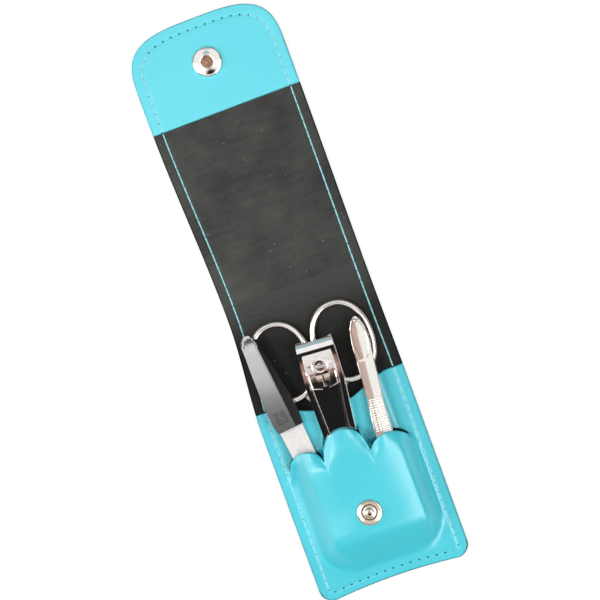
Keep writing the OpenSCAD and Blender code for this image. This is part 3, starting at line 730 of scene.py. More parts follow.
# each wrinkle: place along the case, middle and half length across it, height
WRINKLES = [(FOLD_BASE + dy, cx, half, h) for dy, cx, half, h in (
    (-0.9, -11, 8, 0.13), (-0.2, 3, 9, 0.12), (0.9, -14, 6, 0.14), (1.5, 9, 7, 0.12),
    (2.6, -3, 10, 0.13), (3.4, -15, 5, 0.09), (3.9, 11, 6, 0.10))]
WRINKLE_W, WRINKLE_SLANT, WRINKLE_WAVE = 0.28, 0.012, 0.2
MARK_R, MARK_W, MARK_DEPTH, MARK_STRETCH = 0.9, 0.35, 0.14, 0.7
CAP_X, CAP_Y = middle_of("snap_cap")
CAP_R = (box_mm("snap_cap")[1][0] - box_mm("snap_cap")[0][0]) / 2
DISH_DEPTH, DISH_W = 0.26, 1.8
OUTER_GROOVE_DEPTH, OUTER_GROOVE_W = 0.22, 0.5
OUTER_GROOVE_START = 6


def seam_dip(x, y, depth=SEAM_DEPTH):
    """The leather is drawn down along the line of stitches."""
    return -depth * bell(abs(x) - (half_width(y, x) - SEAM_INSET), SEAM_W)


def lining_top(x, y):
    """Flat, but for the stitched groove, short wrinkles at the crease and the mark the stud has left."""
    z = seam_dip(x, y, LINING_SEAM_DEPTH)
    for at, centre, half, height in WRINKLES:
        bow = at + WRINKLE_SLANT * (x - centre) + WRINKLE_WAVE * math.sin(0.45 * x + 3 * at)
        z += height * bell(y - bow, WRINKLE_W) * smooth((half - abs(x - centre)) / 3)
    r = math.hypot(x - SNAP_MARK[0], (y - SNAP_MARK[1]) * MARK_STRETCH)
    return SLAB_T - CLEARANCE + z - MARK_DEPTH * bell(r - MARK_R, MARK_W)


def shell_top(x, y):
    return SHELL_T - CLEARANCE


def is_grooved(y):
    """Whether the outside has its groove here. Round the ends the stitches lie on plain leather."""
    return POCKET_END + OUTER_GROOVE_START <= y <= FLAP_ROUND_Y


def shell_under(x, y):
    """The outside of the case, with a dish for the snap's cap and a groove for its row of stitches."""
    dish = DISH_DEPTH * smooth((CAP_R + DISH_W - math.hypot(x - CAP_X, y - CAP_Y)) / DISH_W)
    if not is_grooved(y):
        return dish
    d = abs(x) - (half_width(y, x) - SEAM_INSET)
    return max(dish, OUTER_GROOVE_DEPTH * bell(d, OUTER_GROOVE_W))


# %% Outer leather and lining
SHELL = dict(top=shell_top, thickness=SHELL_T - CLEARANCE, under=shell_under)
LINING = dict(top=lining_top, thickness=SLAB_T - SHELL_T - 2 * CLEARANCE)
POCKET_SIDE = dict(y0=POCKET_END, y1=MID_SPINE, body_a="base", body_b="spine", fold=FOLD_BASE)
FLAP_SIDE = dict(y0=MID_SPINE, y1=FLAP_END, body_a="spine", body_b="cover", fold=FOLD_COVER)


def fold_piece(name, material, slot, replaced, y0, y1, body_a, body_b, fold, top, thickness, under=None):
    """A sheet that ends half way across the spine and spans one of the two folds, built lying flat."""
    rows = plate(y0, y1, top)
    obj = mesh_object(name, [p for row in rows for p in row], grid_faces(len(rows), len(rows[0])))
    cut_leather(obj, thickness, plain_y=MID_SPINE, under=under)
    finish_piece(obj, material, None, slot, *replaced, edge=edge_core)
    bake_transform(obj)
    print(name, len(obj.data.polygons), "faces")
    return obj


shell_a = fold_piece("outer_leather_pocket_side", turquoise, "leather", ("base_shell", "spine_shell"),
                     **POCKET_SIDE, **SHELL)
shell_b = fold_piece("outer_leather_flap_side", turquoise, "leather", ("cover_shell",),
                     **FLAP_SIDE, **SHELL)
# The pocket side of the lining uses the duller copy with painted shade near the tools.
lining_a = fold_piece("lining_pocket_side", lining_with_painted_shade, "lining", ("base_lining", "spine_lining"),
                      **POCKET_SIDE, **LINING)
lining_b = fold_piece("lining_flap_side", lining, "lining", ("cover_lining",), **FLAP_SIDE, **LINING)
for board in ("base_board", "cover_board"):
    nodes[board].data.materials.clear()
    nodes[board].data.materials.append(card)

# %% [markdown]
# The pocket is one piece of leather. Its top edge is scooped, and three curved slits are cut through
# it. Above the slits it lies low over the scissors, and below them it stands up over the tools as
# three tongues that run together into one dome, flat under the snap's stud.

# %% Sizes of the pocket leather
# each slit: where it starts and ends across the case, and how far its ends and its top lie along it
FILE_SLIT = (-22.7, -9.2, 48.6, 54.1)
CLIPPER_SLIT = (-8.0, 6.2, 53.3, 57.8)
TWEEZERS_SLIT = (7.4, 21.5, 47.4, 51.3)
SLITS = (FILE_SLIT, CLIPPER_SLIT, TWEEZERS_SLIT)
TONGUE_LIFTS = (5.4, 7.6, 7.5)
TONGUE_TOP = 7.6
BRIDGES = ((FILE_SLIT[1] + CLIPPER_SLIT[0]) / 2, (CLIPPER_SLIT[1] + TWEEZERS_SLIT[0]) / 2)
BRIDGE_LIFT, BRIDGE_HALF = 6.4, 0.65
MOUTH_SCOOP, MOUTH_SIDE, MOUTH_POWER = 6.0, 7, 1.3
LOW_Z = SLAB_T + 3.7
HIGH_Z = SLAB_T + 11.3
SNAP_Z = SLAB_T + 9.8
BORDER_W = 4.6
SHOULDER_X = CASE_W / 2 - BORDER_W
FLAT_X, LOW_EDGE = 13.0, 19.0
CROWN_Y = POCKET_END + 48
DOME_END = POCKET_END + BORDER_W
RISE_RATE = 2.5
LEFT_FOOT_W, RIGHT_FOOT_W, FOOT_OUT, FOOT_CORNER = 9.5, 6.8, 0.9, 6
SINK_FROM_Y, SINK_L, SINK_TO_Y, SINK_BACK_L = -104, 20, -54, 25.4
STUD_X, STUD_Y = middle_of("snap_stud")
STUD_FLAT_R, STUD_EASE_R = 4.8, 9
TONGUE_L, EASE_RATE, EASE_MAX = 7, 0.7, 5.0

# %% Shape of the pocket leather
def arc_over(x, slit):
    half, rise = (slit[1] - slit[0]) / 2, slit[3] - slit[2]
    r = (half * half + rise * rise) / (2 * rise)
    d = x - (slit[0] + slit[1]) / 2
    return 0.0 if abs(d) >= half else math.sqrt(max(0.0, r * r - d * d)) - (r - rise)


def slit_base(x):
    xs = [FILE_SLIT[1], CLIPPER_SLIT[0], CLIPPER_SLIT[1], TWEEZERS_SLIT[0]]
    ys = [FILE_SLIT[2], CLIPPER_SLIT[2], CLIPPER_SLIT[2], TWEEZERS_SLIT[2]]
    return float(np.interp(x, xs, ys))


def slit_y(x):
    return POCKET_END + slit_base(x) + sum(arc_over(x, s) for s in SLITS)


def mouth_at(x):
    reach = math.cos(math.pi / 2 * min(1, abs(x) / (CASE_W / 2 - MOUTH_SIDE)))
    return MOUTH_Y - MOUTH_SCOOP * max(0.0, reach) ** MOUTH_POWER


def low_at(x):
    """Height over the scissors, above the slits."""
    return BORDER_Z + (LOW_Z - BORDER_Z) * smooth((LOW_EDGE - abs(x)) / (LOW_EDGE - FLAT_X))


def pull_at(x, width):
    """Between two slits the leather is drawn up by the tongues beside it."""
    return sum(BRIDGE_LIFT * bell(max(0.0, abs(x - at) - BRIDGE_HALF), width) for at in BRIDGES)


def tongue_at(x):
    """Height of the tongues' front edge, just below the slits."""
    lift = 0.0
    for slit, height in zip(SLITS, TONGUE_LIFTS):
        lift += height * hump((2 * x - slit[0] - slit[1]) / (slit[1] - slit[0]), 3)
    return low_at(x) + min(TONGUE_TOP, (lift ** 4 + pull_at(x, 1.8) ** 4) ** 0.25)


def dome_at(x, y):
    """Height of the dome, with a softer shoulder on the left and rounded corners at its foot."""
    across = hump(x / SHOULDER_X, 2.6 if x < 0 else 3)
    along = smooth(RISE_RATE * (y - DOME_END) / (CROWN_Y - DOME_END))
    foot = smooth((SHOULDER_X + FOOT_OUT - FOOT_CORNER * (1 - along) ** 2 - abs(x))
                  / (LEFT_FOOT_W if x < 0 else RIGHT_FOOT_W))
    crown = (HIGH_Z - BORDER_Z
             - (HIGH_Z - SNAP_Z) * smooth((y - SINK_FROM_Y) / SINK_L) * smooth((SINK_TO_Y - y) / SINK_BACK_L))
    return BORDER_Z + crown * across * along * foot


def eased(shape, x, reach):
    """A shape's mean height over a strip that reaches to both sides of x."""
    return sum(shape(x + reach * k / 5) for k in range(-5, 6)) / 11


def front_at(x, y):
    """Height below the slits: from the tongues' edge it runs into the dome, and flat under the stud."""
    reach = min(EASE_MAX, EASE_RATE * max(0.0, slit_y(x) - y))
    t = smooth((eased(slit_y, x, reach) - y) / TONGUE_L)
    from_stud = math.hypot(x - STUD_X, y - STUD_Y)
    share = smooth((STUD_EASE_R - from_stud) / (STUD_EASE_R - STUD_FLAT_R))
    return mix(mix(eased(tongue_at, x, reach), dome_at(x, y), t), SNAP_Z, share)


# %% [markdown]
# The grid of the pocket has its columns closest at the ends of the slits. Its rows come in two parts,
# above and below the slits. They share a row of points wherever the leather isn't cut through.

# %% Pocket leather
ROWS_ABOVE = 24
ROWS_BELOW = 70
SLIT_COLUMNS = 30
BOTTOM_SEAM_ZONE = 8


def pocket_columns():
    border = [-CASE_W / 2 + d for d in (0, 0.3, 1.0, 2.0, 2.7, 3.1, 3.35, 3.6, 3.85, 4.1, 4.5, 4.9)]
    cols = list(border)
    for slit in SLITS:
        centre, half = (slit[0] + slit[1]) / 2, (slit[1] - slit[0]) / 2
        cols += [centre - half * math.cos(math.pi * k / SLIT_COLUMNS) for k in range(SLIT_COLUMNS + 1)]
    return cols + [-x for x in reversed(border)]


def is_open(x):
    return any(s[0] + 1e-4 < x < s[1] - 1e-4 for s in SLITS)


def drawn_in(x, y):
    """Where column x lies at this place along the case, whose sides draw in towards the fold."""
    return x / (CASE_W / 2) * half_width(y, x)


def seamed(x, y, z):
    """A point of column x, drawn down along the rows of stitches at the sides and at the end."""
    dip = seam_dip(drawn_in(x, y), y)
    if y < POCKET_END + BOTTOM_SEAM_ZONE:
        row = y - (POCKET_END + ROW_INSET + scoop_at(x))
        dip = min(dip * smooth((row + 1.5) / 2), -SEAM_DEPTH * bell(row, SEAM_W) * (abs(x) < SCOOP_HALF))
    return (drawn_in(x, y), y, z + dip)


def pocket_rows():
    """The columns, and the rows of points above the slits and below them, from the mouth to the end."""
    xs = pocket_columns()
    above, below = [], []
    for j in range(ROWS_ABOVE + 1):
        row = []
        for x in xs:
            y = mix(mouth_at(x), slit_y(x), j / ROWS_ABOVE)
            z = low_at(x) + pull_at(x, 0.6) * smooth(1 - (y - slit_y(x)) / 3.2)
            row.append(seamed(x, y, z))
        above.append(row)
    for j in range(ROWS_BELOW + 1):
        t = 1 - (1 - j / ROWS_BELOW) ** 1.35
        row = []
        for x in xs:
            y = mix(slit_y(x), DOME_END, t)
            row.append(seamed(x, y, tongue_at(x) if j == 0 else front_at(drawn_in(x, y), y)))
        below.append(row)
    for inset in (4.2, 3.8, 3.5, 3.25, 3.05, 2.9, 2.75, 2.55, 2.3, 1.8, 1.2, 0.7, 0.3, 0.0):
        row = []
        for x in xs:
            y = mix(end_low(x), DOME_END, inset / BORDER_W)
            row.append(seamed(x, y, front_at(drawn_in(x, y), y)))
        below.append(row)
    return xs, above, below


def pocket_leather():
    xs, above, below = pocket_rows()
    n = len(xs)
    points = [p for row in above for p in row]
    shared = (len(above) - 1) * n
    index = []
    for j, row in enumerate(below):
        ids = []
        for i, p in enumerate(row):
            if j == 0 and not is_open(xs[i]):
                ids.append(shared + i)
            else:
                ids.append(len(points))
                points.append(p)
        index.append(ids)
    faces = grid_faces(len(above), n)
    for a, b in zip(index, index[1:]):
        faces += [(a[i], a[i + 1], b[i + 1], b[i]) for i in range(n - 1)]
    return cut_leather(mesh_object("pocket_leather", points, [f[::-1] for f in faces]), PANEL_T, 0.2)


pocket = finish_piece(pocket_leather(), turquoise, "base", "leather", "pocket_panel", edge=edge_core)
print("pocket leather:", len(pocket.data.polygons), "faces")

# %% [markdown]
# The flap's facing is a flat patch. Its seam follows the curved edge, so it is drawn as rings: the
# edge itself, then the same curve again and again further in, closest together where the stitches
# draw the leather down.

# %% Flap facing
FACING_INSETS = (0, 0.3, 1.0, 2.0, 2.7, 3.0, 3.2, 3.4, 3.6, 3.8, 4.0, 4.3, 5.0, 7.0)
FACING_SEAM_W = 0.35


def flap_ring(inset):
    """The outline of the facing drawn in by an inset, from the lower right corner round to the left."""
    half = CASE_W / 2 - inset
    straight = steps(FACING_Y, FLAP_ROUND_Y, 12)[:-1]
    return [(half, y) for y in straight] + flap_curve(inset, 120) + [(-half, y) for y in reversed(straight)]


def flap_facing():
    rings = [flap_ring(i) for i in FACING_INSETS]
    n = len(rings[0])
    points = [(x, y, FACING_TOP - SEAM_DEPTH * bell(inset - SEAM_INSET, FACING_SEAM_W))
              for inset, ring in zip(FACING_INSETS, rings) for x, y in ring]
    faces = [(a * n + k + 1, (a + 1) * n + k + 1, (a + 1) * n + k, a * n + k)
             for a in range(len(rings) - 1) for k in range(n - 1)]
    last = (len(rings) - 1) * n
    faces.append(tuple(range(last, last + n)))
    return cut_leather(mesh_object("flap_facing", points, faces), FACING_TOP - SLAB_T, 0.18)


# The facing uses the lighter copy of the leather, with painted light.
facing = finish_piece(flap_facing(), turquoise_painted_lighter, "cover", "leather", "cover_facing", edge=edge_core)
print("facing:", len(facing.data.polygons), "faces")

# %% [markdown]
# Sewing. A lock stitch shows as short raised bars of thread that dive into a needle hole at each end.
# Each bar is a stretched ball laid in the groove, each hole a small dark dot under the place where
# two bars meet: painted shade for the hollow of the hole. A seam is a list of places with a direction,
# so the same helper sews every one.

# %% Stitches and needle holes
STITCH_PITCH = 3.3
THREAD_R = 0.25
HOLE_R, HOLE_TAPER, HOLE_T = 0.36, 0.7, 0.05
THREAD_SUNK, DEEP_THREAD_SUNK, HOLE_SUNK = 0.09, 0.38, 0.08


def bar(bm, centre, direction, length, radius):
    """A ball pulled out to a bar: each half of it moves along the bar's own line."""
    turn = Vector((0, 1, 0)).rotation_difference(Vector(direction)).to_matrix().to_4x4()
    shape = Matrix.Translation(Vector(centre) * MM) @ turn
    ball = bmesh.ops.create_uvsphere(bm, u_segments=12, v_segments=10, radius=radius * MM,
                                     matrix=Matrix.Rotation(math.pi / 2, 4, "X"))["verts"]
    for v in ball:
        v.co.y += math.copysign(length / 2 * MM - radius * MM, v.co.y) if abs(v.co.y) > 1e-7 else 0
        v.co = shape @ v.co


# A dark disc of painted shade in place of a needle hole.
def hole_dot(bm, centre):
    bmesh.ops.create_cone(bm, cap_ends=True, segments=12, radius1=HOLE_R * MM,
                          radius2=HOLE_R * HOLE_TAPER * MM, depth=HOLE_T * MM,
                          matrix=Matrix.Translation(Vector(centre) * MM))


def along_path(path):
    """Evenly spaced stitches on a line of points: the middle of each and its direction."""
    path = [Vector(p) for p in path]
    lengths = [(b - a).length for a, b in zip(path, path[1:])]
    count = max(1, round(sum(lengths) / STITCH_PITCH))
    pitch = sum(lengths) / count
    stitches, done, k = [], 0.0, 0
    for a, b, length in zip(path, path[1:], lengths):
        while k < count and (k + 0.5) * pitch <= done + length + 1e-6:
            stitches.append((a.lerp(b, ((k + 0.5) * pitch - done) / length), (b - a).normalized()))
            k += 1
        done += length
    return stitches, pitch


def side_seams(*spans):
    """For each side of the case, a straight seam over each span along it."""
    return [[(side * (half_width(y, side) - SEAM_INSET), y) for y in steps(y0, y1, 60)]
            for side in (-1, 1) for y0, y1 in spans]


def bottom_seam():
    reach = SCOOP_HALF - 0.6
    return [(x, POCKET_END + ROW_INSET + scoop_at(x)) for x in steps(-reach, reach, 60)]


def inside_heights(at, way):
    """Heights of a thread's middle and of its needle holes on the inside of the case. The rows that
    run across it, at the pocket's end and round the flap, are pulled deeper into the leather."""
    z = BORDER_Z if at.y < MOUTH_Y else FACING_TOP if at.y > FACING_Y else SLAB_T
    deep = abs(way.x) > 0.9 and not MOUTH_Y < at.y < FLAP_ROUND_Y
    return z - (DEEP_THREAD_SUNK if deep else THREAD_SUNK), z - HOLE_SUNK


def outside_heights(at, way):
    """The same on the outside: in the groove on the straight, half sunk in the leather round the ends."""
    return (0.22, 0.2) if is_grooved(at.y) else (0.14, 0.0)


def sew(name, body, paths, node=None, heights=inside_heights):
    threads, holes = bmesh.new(), bmesh.new()
    for path in paths:
        stitches, pitch = along_path(path)
        for at, way in stitches:
            z_thread, z_hole = heights(at, way)
            bar(threads, (at.x, at.y, z_thread), (way.x, way.y, 0), pitch * 0.99, THREAD_R)
            for end in (-0.5, 0.5):
                hole_dot(holes, (at.x + way.x * pitch * end, at.y + way.y * pitch * end, z_hole))
    finish_piece(bmesh_object(f"{name}_thread", threads), thread, body, "thread", *([node] if node else []))
    finish_piece(bmesh_object(f"{name}_needle_holes", holes), hole_shade, body, "thread")


LOW_ROW = POCKET_END + ROW_INSET + 1.6
# how far the outer rows stop short of a fold's middle, where the leather bends
FOLD_GAP = 1.9
flap_seam = flap_curve(SEAM_INSET, 200)
sew("pocket_side", "base",
    side_seams((LOW_ROW, MOUTH_Y - 0.3), (MOUTH_Y + 0.2, FOLD_BASE - 0.1)) + [bottom_seam()],
    "base_stitching")
sew("spine", "spine", side_seams((FOLD_BASE + 0.1, FOLD_COVER - 0.1)), "spine_stitching")
sew("flap", "cover",
    side_seams((FOLD_COVER + 0.1, FACING_Y - 0.2), (FACING_Y + 0.3, FLAP_ROUND_Y)) + [flap_seam],
    "cover_stitching")
sew("pocket_side_outer", "base", side_seams((LOW_ROW, FOLD_BASE - FOLD_GAP)) + [bottom_seam()],
    heights=outside_heights)
sew("spine_outer", "spine", side_seams((FOLD_BASE + FOLD_GAP, FOLD_COVER - FOLD_GAP)),
    heights=outside_heights)
sew("flap_outer", "cover", side_seams((FOLD_COVER + FOLD_GAP, FLAP_ROUND_Y)) + [flap_seam],
    heights=outside_heights)

# %% [markdown]
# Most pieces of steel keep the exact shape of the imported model. Real stampings have no knife edges, so
# each is copied, its flat facets are joined, and a narrow bevel rounds every edge to catch the light.
# The flats keep their own direction in the shading, so they mirror the room as flats. Where the
# clipper's lever bends by a few degrees, cuts close beside the bend keep its shading to a narrow strip.

# %% Softened steel
EDGE_SEGMENTS = 3
SHARP_ANGLE = 28


def soften(node, width, material, slot, body, reshape=None, cuts=()):
    """Replaces a node by a copy with rounded edges. A cut is a point and the direction it is cut
    across, and reshape moves the copy's points."""
    mesh = nodes[node].data.copy()
    bm = bmesh.new()
    bm.from_mesh(mesh)
    if reshape:
        for v in bm.verts:
            v.co = reshape(v.co / MM) * MM
    bmesh.ops.remove_doubles(bm, verts=bm.verts, dist=0.002 * MM)
    bmesh.ops.dissolve_limit(bm, angle_limit=math.radians(0.05), verts=bm.verts, edges=bm.edges)
    for at, way in cuts:
        everything = bm.verts[:] + bm.edges[:] + bm.faces[:]
        bmesh.ops.bisect_plane(bm, geom=everything, plane_co=at * MM, plane_no=way, dist=1e-7)
    bmesh.ops.triangulate(bm, faces=[f for f in bm.faces if len(f.verts) > 4])
    for face in bm.faces:
        face.smooth = True
    bm.to_mesh(mesh)
    bm.free()
    obj = link(bpy.data.objects.new(f"{node}_finish", mesh))
    edge = obj.modifiers.new("edge", "BEVEL")
    edge.width = width * MM
    edge.segments = EDGE_SEGMENTS
    edge.limit_method = "ANGLE"
    edge.angle_limit = math.radians(SHARP_ANGLE)
    edge.face_strength_mode = "FSTR_ALL"
    obj.modifiers.new("flats", "WEIGHTED_NORMAL").use_face_influence = True
    bake_modifiers(obj)
    finish_piece(obj, material, body, slot, node)


CLIPPER_AT = Vector((1.5, POCKET_END + 90.6, 0))
CLIPPER_WAY = Matrix.Rotation(math.radians(-4), 3, "Z") @ Vector((0, 1, 0))
LEVER_BEND = [(CLIPPER_AT + CLIPPER_WAY * y, CLIPPER_WAY) for y in (-17.2, -16.1, -13.9, -12.8)]
for node, width in (("clipper_lower_jaw", 0.18), ("clipper_upper_jaw", 0.18), ("clipper_lever", 0.14),
                    ("clipper_post", 0.1), ("clipper_cross_pin", 0.08), ("clipper_rivet", 0.1)):
    soften(node, width, chrome, "polished_steel", "clipper_jaw" if node == "clipper_upper_jaw" else "clipper",
           cuts=LEVER_BEND if node == "clipper_lever" else ())
soften("tweezers_back_arm", 0.2, satin, "tweezers_steel", "tweezers")
soften("file_blade", 0.08, gritted, "file_steel", "file")

# %% [markdown]
# The handle of the file is moulded in black plastic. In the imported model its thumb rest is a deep
# dimple in the left facet. Here it is pressed in only slightly, and ribs for grip are added below it.

# %% Handle of the file
FILE_AT, FILE_TURN = Vector((-20.8, POCKET_END + 99.5, SLAB_T + 3.9)), math.radians(6.4)
HANDLE_T = box_mm("file_handle")[1][2] - FILE_AT.z
FACET_X, FACET_W, FACET_DROP = 1.6, 8.6, 1.5
DIMPLE_X, DIMPLE_Y, DIMPLE_R = -0.2, -3.9, 3.3
DIMPLE_FLOOR_Z = 2.0
DIMPLE_SHARE = 0.12
RIBS, RIB_Y, RIB_PITCH = 5, -29.4, 0.95
RIB_LEFT, RIB_RIGHT, RIB_R, RIB_SUNK = -3.9, 0.9, 0.17, 0.06


def facet_z(x):
    """Height of the handle's left facet, which falls away from the ridge."""
    return HANDLE_T - FACET_DROP * (FACET_X - x) / FACET_W


def from_handle(p):
    return Matrix.Rotation(FILE_TURN, 3, "Z") @ p + FILE_AT


def shallow_dimple(p):
    """Lifts the points inside the thumb rest most of the way back up to the facet."""
    here = Matrix.Rotation(-FILE_TURN, 3, "Z") @ (p - FILE_AT)
    facet = facet_z(here.x)
    inside = (here.x - DIMPLE_X) ** 2 + (here.y - DIMPLE_Y) ** 2 < DIMPLE_R ** 2
    if inside and DIMPLE_FLOOR_Z < here.z < facet - 0.05:
        here.z = facet - DIMPLE_SHARE * (facet - here.z)
    return from_handle(here)


soften("file_handle", 0.3, black_plastic, "handle_plastic", "file", reshape=shallow_dimple)


def handle_ribs():
    """Fine ribs moulded across the lower end of the left facet."""
    bm = bmesh.new()
    for k in range(RIBS):
        y = RIB_Y - RIB_PITCH * k
        a, b = (from_handle(Vector((x, y, facet_z(x)))) for x in (RIB_LEFT, RIB_RIGHT))
        bar(bm, (a + b) / 2 - Vector((0, 0, RIB_SUNK)), (b - a).normalized(), (b - a).length, RIB_R)
    finish_piece(bmesh_object("handle_ribs", bm), black_plastic, "file", "handle_plastic")


handle_ribs()

# %% Small steel pieces
soften("scissors_screw", 0.06, ring_steel, "scissors_steel", "scissors")
for node, body in (("snap_cap", "cover"), ("snap_rivet", "base")):
    soften(node, 0.05, nickel, "nickel", body)

# %% [markdown]
# Each half of the scissors is a finger ring of round wire and a flat blade. Forging runs the one into
# the other, so the wire is drawn as a fine tube on an oval, and the blade as a plate with rounded
# edges that starts inside it. One half is the mirror of the other, one plate lower.

# %% Scissors halves
RING_A, RING_B, RING_WIRE, RING_Y = 10.15, 14.0, 2.3, 40.0
RING_X = RING_A + RING_WIRE / 2 + 0.2
RING_POWER = 0.92
RING_STEPS, WIRE_STEPS = 96, 20
PLATE_T, PLATE_GAP, PLATE_EDGE = 1.0, 0.05, 0.22
# outline of the blade of the right half, from the pivot
PLATE = ((0.3, -36.5), (2, -24.5), (3.3, -8), (3.4, 3), (3.4, 12), (4.6, 20), (8.3, 26), (6.6, 27.2),
         (1.4, 18), (-1, 6), (-3.3, 3), (-3.3, -4), (-2.2, -12), (-0.3, -36.5))
PIVOT_X, PIVOT_Y, SCISSORS_Z = -0.6, POCKET_END + 46.15, SLAB_T + 0.3


def ring_centre(t):
    return Vector((RING_X + RING_A * signed_power(math.cos(t), RING_POWER),
                   RING_Y + RING_B * signed_power(math.sin(t), RING_POWER), 0))


def wire_section(t):
    """Points round the wire where it passes the angle t of the ring."""
    ahead = (ring_centre(t + 0.03) - ring_centre(t - 0.03)).normalized()
    out = Vector((ahead.y, -ahead.x, 0))
    return [ring_centre(t) + out * RING_WIRE / 2 * math.cos(a)
            + Vector((0, 0, RING_WIRE / 2 * (1 + math.sin(a))))
            for a in (2 * math.pi * i / WIRE_STEPS for i in range(WIRE_STEPS))]


def scissors_half(name, mirror, layer, node, body):
    bm = bmesh.new()

    def vert(p):
        return bm.verts.new(Vector((mirror * p[0] + PIVOT_X, p[1] + PIVOT_Y, p[2] + SCISSORS_Z)) * MM)

    verts = [[vert(p) for p in wire_section(2 * math.pi * k / RING_STEPS)] for k in range(RING_STEPS)]
    for this, following in zip(verts, verts[1:] + verts[:1]):
        for i in range(WIRE_STEPS):
            q = (i + 1) % WIRE_STEPS
            bm.faces.new([this[i], this[q], following[q], following[i]])
    low = [vert((x, y, layer)) for x, y in PLATE]
    high = [vert((x, y, layer + PLATE_T)) for x, y in PLATE]
    flat = [bm.faces.new(low), bm.faces.new(high)]
    for k in range(len(PLATE)):
        bm.faces.new([low[k - 1], low[k], high[k], high[k - 1]])
    bmesh.ops.recalc_face_normals(bm, faces=bm.faces)
    rim = {e for f in flat for e in f.edges}
    bmesh.ops.bevel(bm, geom=list(rim), offset=PLATE_EDGE * MM, segments=3, affect="EDGES",
                    clamp_overlap=True)
    finish_piece(bmesh_object(name, bm, 35), ring_steel, body, "scissors_steel", node)


scissors_half("scissors_right_finish", 1, PLATE_T + PLATE_GAP, "scissors_right_half", "scissors_right")
scissors_half("scissors_left_finish", -1, 0.0, "scissors_left_half", "scissors_left")

# %% [markdown]
# A snap fastener is spun from thin plate, so both its halves are turned shapes. The socket on the flap
# is a shallow dome with a rolled hole, and under the hole lies a dark brown disc of painted shade and
# reflection. The stud on the pocket is a dished ring with a ball in it, in a darker, warmer copy of the
# nickel: a painted reflection of the brown it mirrors.

# %% Snap fastener
def lathe(name, profile, centre, material, body, slot, *replaced, n=128):
    """Turns a profile of radii and heights about an upright axis."""
    bm = bmesh.new()
    rings = []
    for r, z in profile:
        if r < 1e-6:
            rings.append([bm.verts.new((centre[0] * MM, centre[1] * MM, (centre[2] + z) * MM))])
            continue
        rings.append([bm.verts.new(((centre[0] + r * math.cos(a)) * MM, (centre[1] + r * math.sin(a)) * MM,
                                    (centre[2] + z) * MM)) for a in (2 * math.pi * k / n for k in range(n))])
    for low_ring, high_ring in zip(rings, rings[1:]):
        for k in range(n):
            q = (k + 1) % n
            corners = [low_ring[k % len(low_ring)], low_ring[q % len(low_ring)],
                       high_ring[q % len(high_ring)], high_ring[k % len(high_ring)]]
            corners = list(dict.fromkeys(corners))
            if len(corners) > 2:
                bm.faces.new(corners)
    bmesh.ops.recalc_face_normals(bm, faces=bm.faces)
    finish_piece(bmesh_object(name, bm), material, body, slot, *replaced)


RIVET_R = 1.25
SOCKET_PROFILE = (
    (RIVET_R, 0.02), (5.2, 0.02), (5.33, 0.1), (5.35, 0.45), (5.3, 0.72), (5.15, 0.92), (4.9, 1.06),
    (4.6, 1.15), (4.2, 1.24), (3.7, 1.35), (3.2, 1.48), (2.8, 1.6), (2.55, 1.68), (2.4, 1.69),
    (2.28, 1.66), (2.17, 1.56), (2.12, 1.4), (2.1, 1.0), (2.1, 0.47), (RIVET_R, 0.45), (RIVET_R, 0.02))
FLOOR_PROFILE = ((0.0, 0.10), (0.45, 0.08), (0.8, -0.04), (1.1, 0.05), (1.5, 0.0), (2.06, -0.04))
STUD_PROFILE = (
    (RIVET_R, 0.02), (4.35, 0.02), (4.47, 0.12), (4.5, 0.32), (4.44, 0.5), (4.28, 0.64), (4.05, 0.7),
    (3.8, 0.68), (3.55, 0.58), (3.3, 0.46), (3.0, 0.40), (2.6, 0.38), (2.2, 0.42), (1.85, 0.5),
    (1.68, 0.62), (1.62, 0.85), (1.7, 1.1), (1.82, 1.3), (1.85, 1.5), (1.78, 1.75), (1.55, 1.97),
    (1.2, 2.12), (0.7, 2.19), (0.0, 2.2), (0.0, 1.25), (RIVET_R, 1.22), (RIVET_R, 0.02))
SOCKET_X, SOCKET_Y = middle_of("snap_socket")
SOCKET_Z = box_mm("snap_socket")[0][2]
CAP_TOP = box_mm("snap_cap")[1][2]
lathe("snap_socket_finish", SOCKET_PROFILE, (SOCKET_X, SOCKET_Y, SOCKET_Z), nickel, "cover", "nickel",
      "snap_socket")
# Under the socket's hole lies a dark brown disc: painted shade and reflection.
lathe("snap_socket_floor", FLOOR_PROFILE, (SOCKET_X, SOCKET_Y, CAP_TOP + 0.06), socket_hole_dark, "cover", "nickel")
# The stud has the darker copy of the nickel, a painted reflection of brown.
lathe("snap_stud_finish", STUD_PROFILE, (STUD_X, STUD_Y, SNAP_Z), stud_nickel_painted_reflection, "base", "nickel",
      "snap_stud")

# %% [markdown]
# The sprung arm of the tweezers is pressed from sheet with a faint ridge down its middle, so its two
# halves mirror different parts of the room. A leaf is stamped into its wide end. The grip is a patch
# of pressed dots, four across and fourteen along, so that fingers don't slip.

# %% Tweezers arm
TWEEZERS_AT, TWEEZERS_TURN = Vector((17.8, POCKET_END + 93.1, SLAB_T + 3.9)), math.radians(-5.5)
# half widths of the arm and of the leaf, at places from the tip up to the joined end
ARM = ((-73.5, 0.9), (-70.5, 1.3), (-60, 2.3), (-41, 3.15), (-35, 3), (-29, 2.75), (-28, 2.95), (-22, 3),
       (-14, 3.2), (-9, 3.35), (-4, 2.75), (-1.2, 1.6), (0, 0.6))
LEAF = ((-16, 0), (-15.5, 0.3), (-14, 1.5), (-10, 2.3), (-6, 2.3), (-3, 1.5), (-1.4, 0.3), (-1, 0))
ARM_T = 0.9
JOINED_Z, ARM_RISE, TIP_DROP = 0.92, 2.6, 0.3
LEAF_STEPS, LEAF_DEPTH, LEAF_WALL = 10, 0.16, 0.22
RIDGE_FALL, RIDGE_R = 0.075, 0.3
# the rounded edge of the arm: each way in from the edge, and how far it drops there
ARM_EDGE = ((0, 0.28), (0.1, 0.09), (0.25, 0.0))


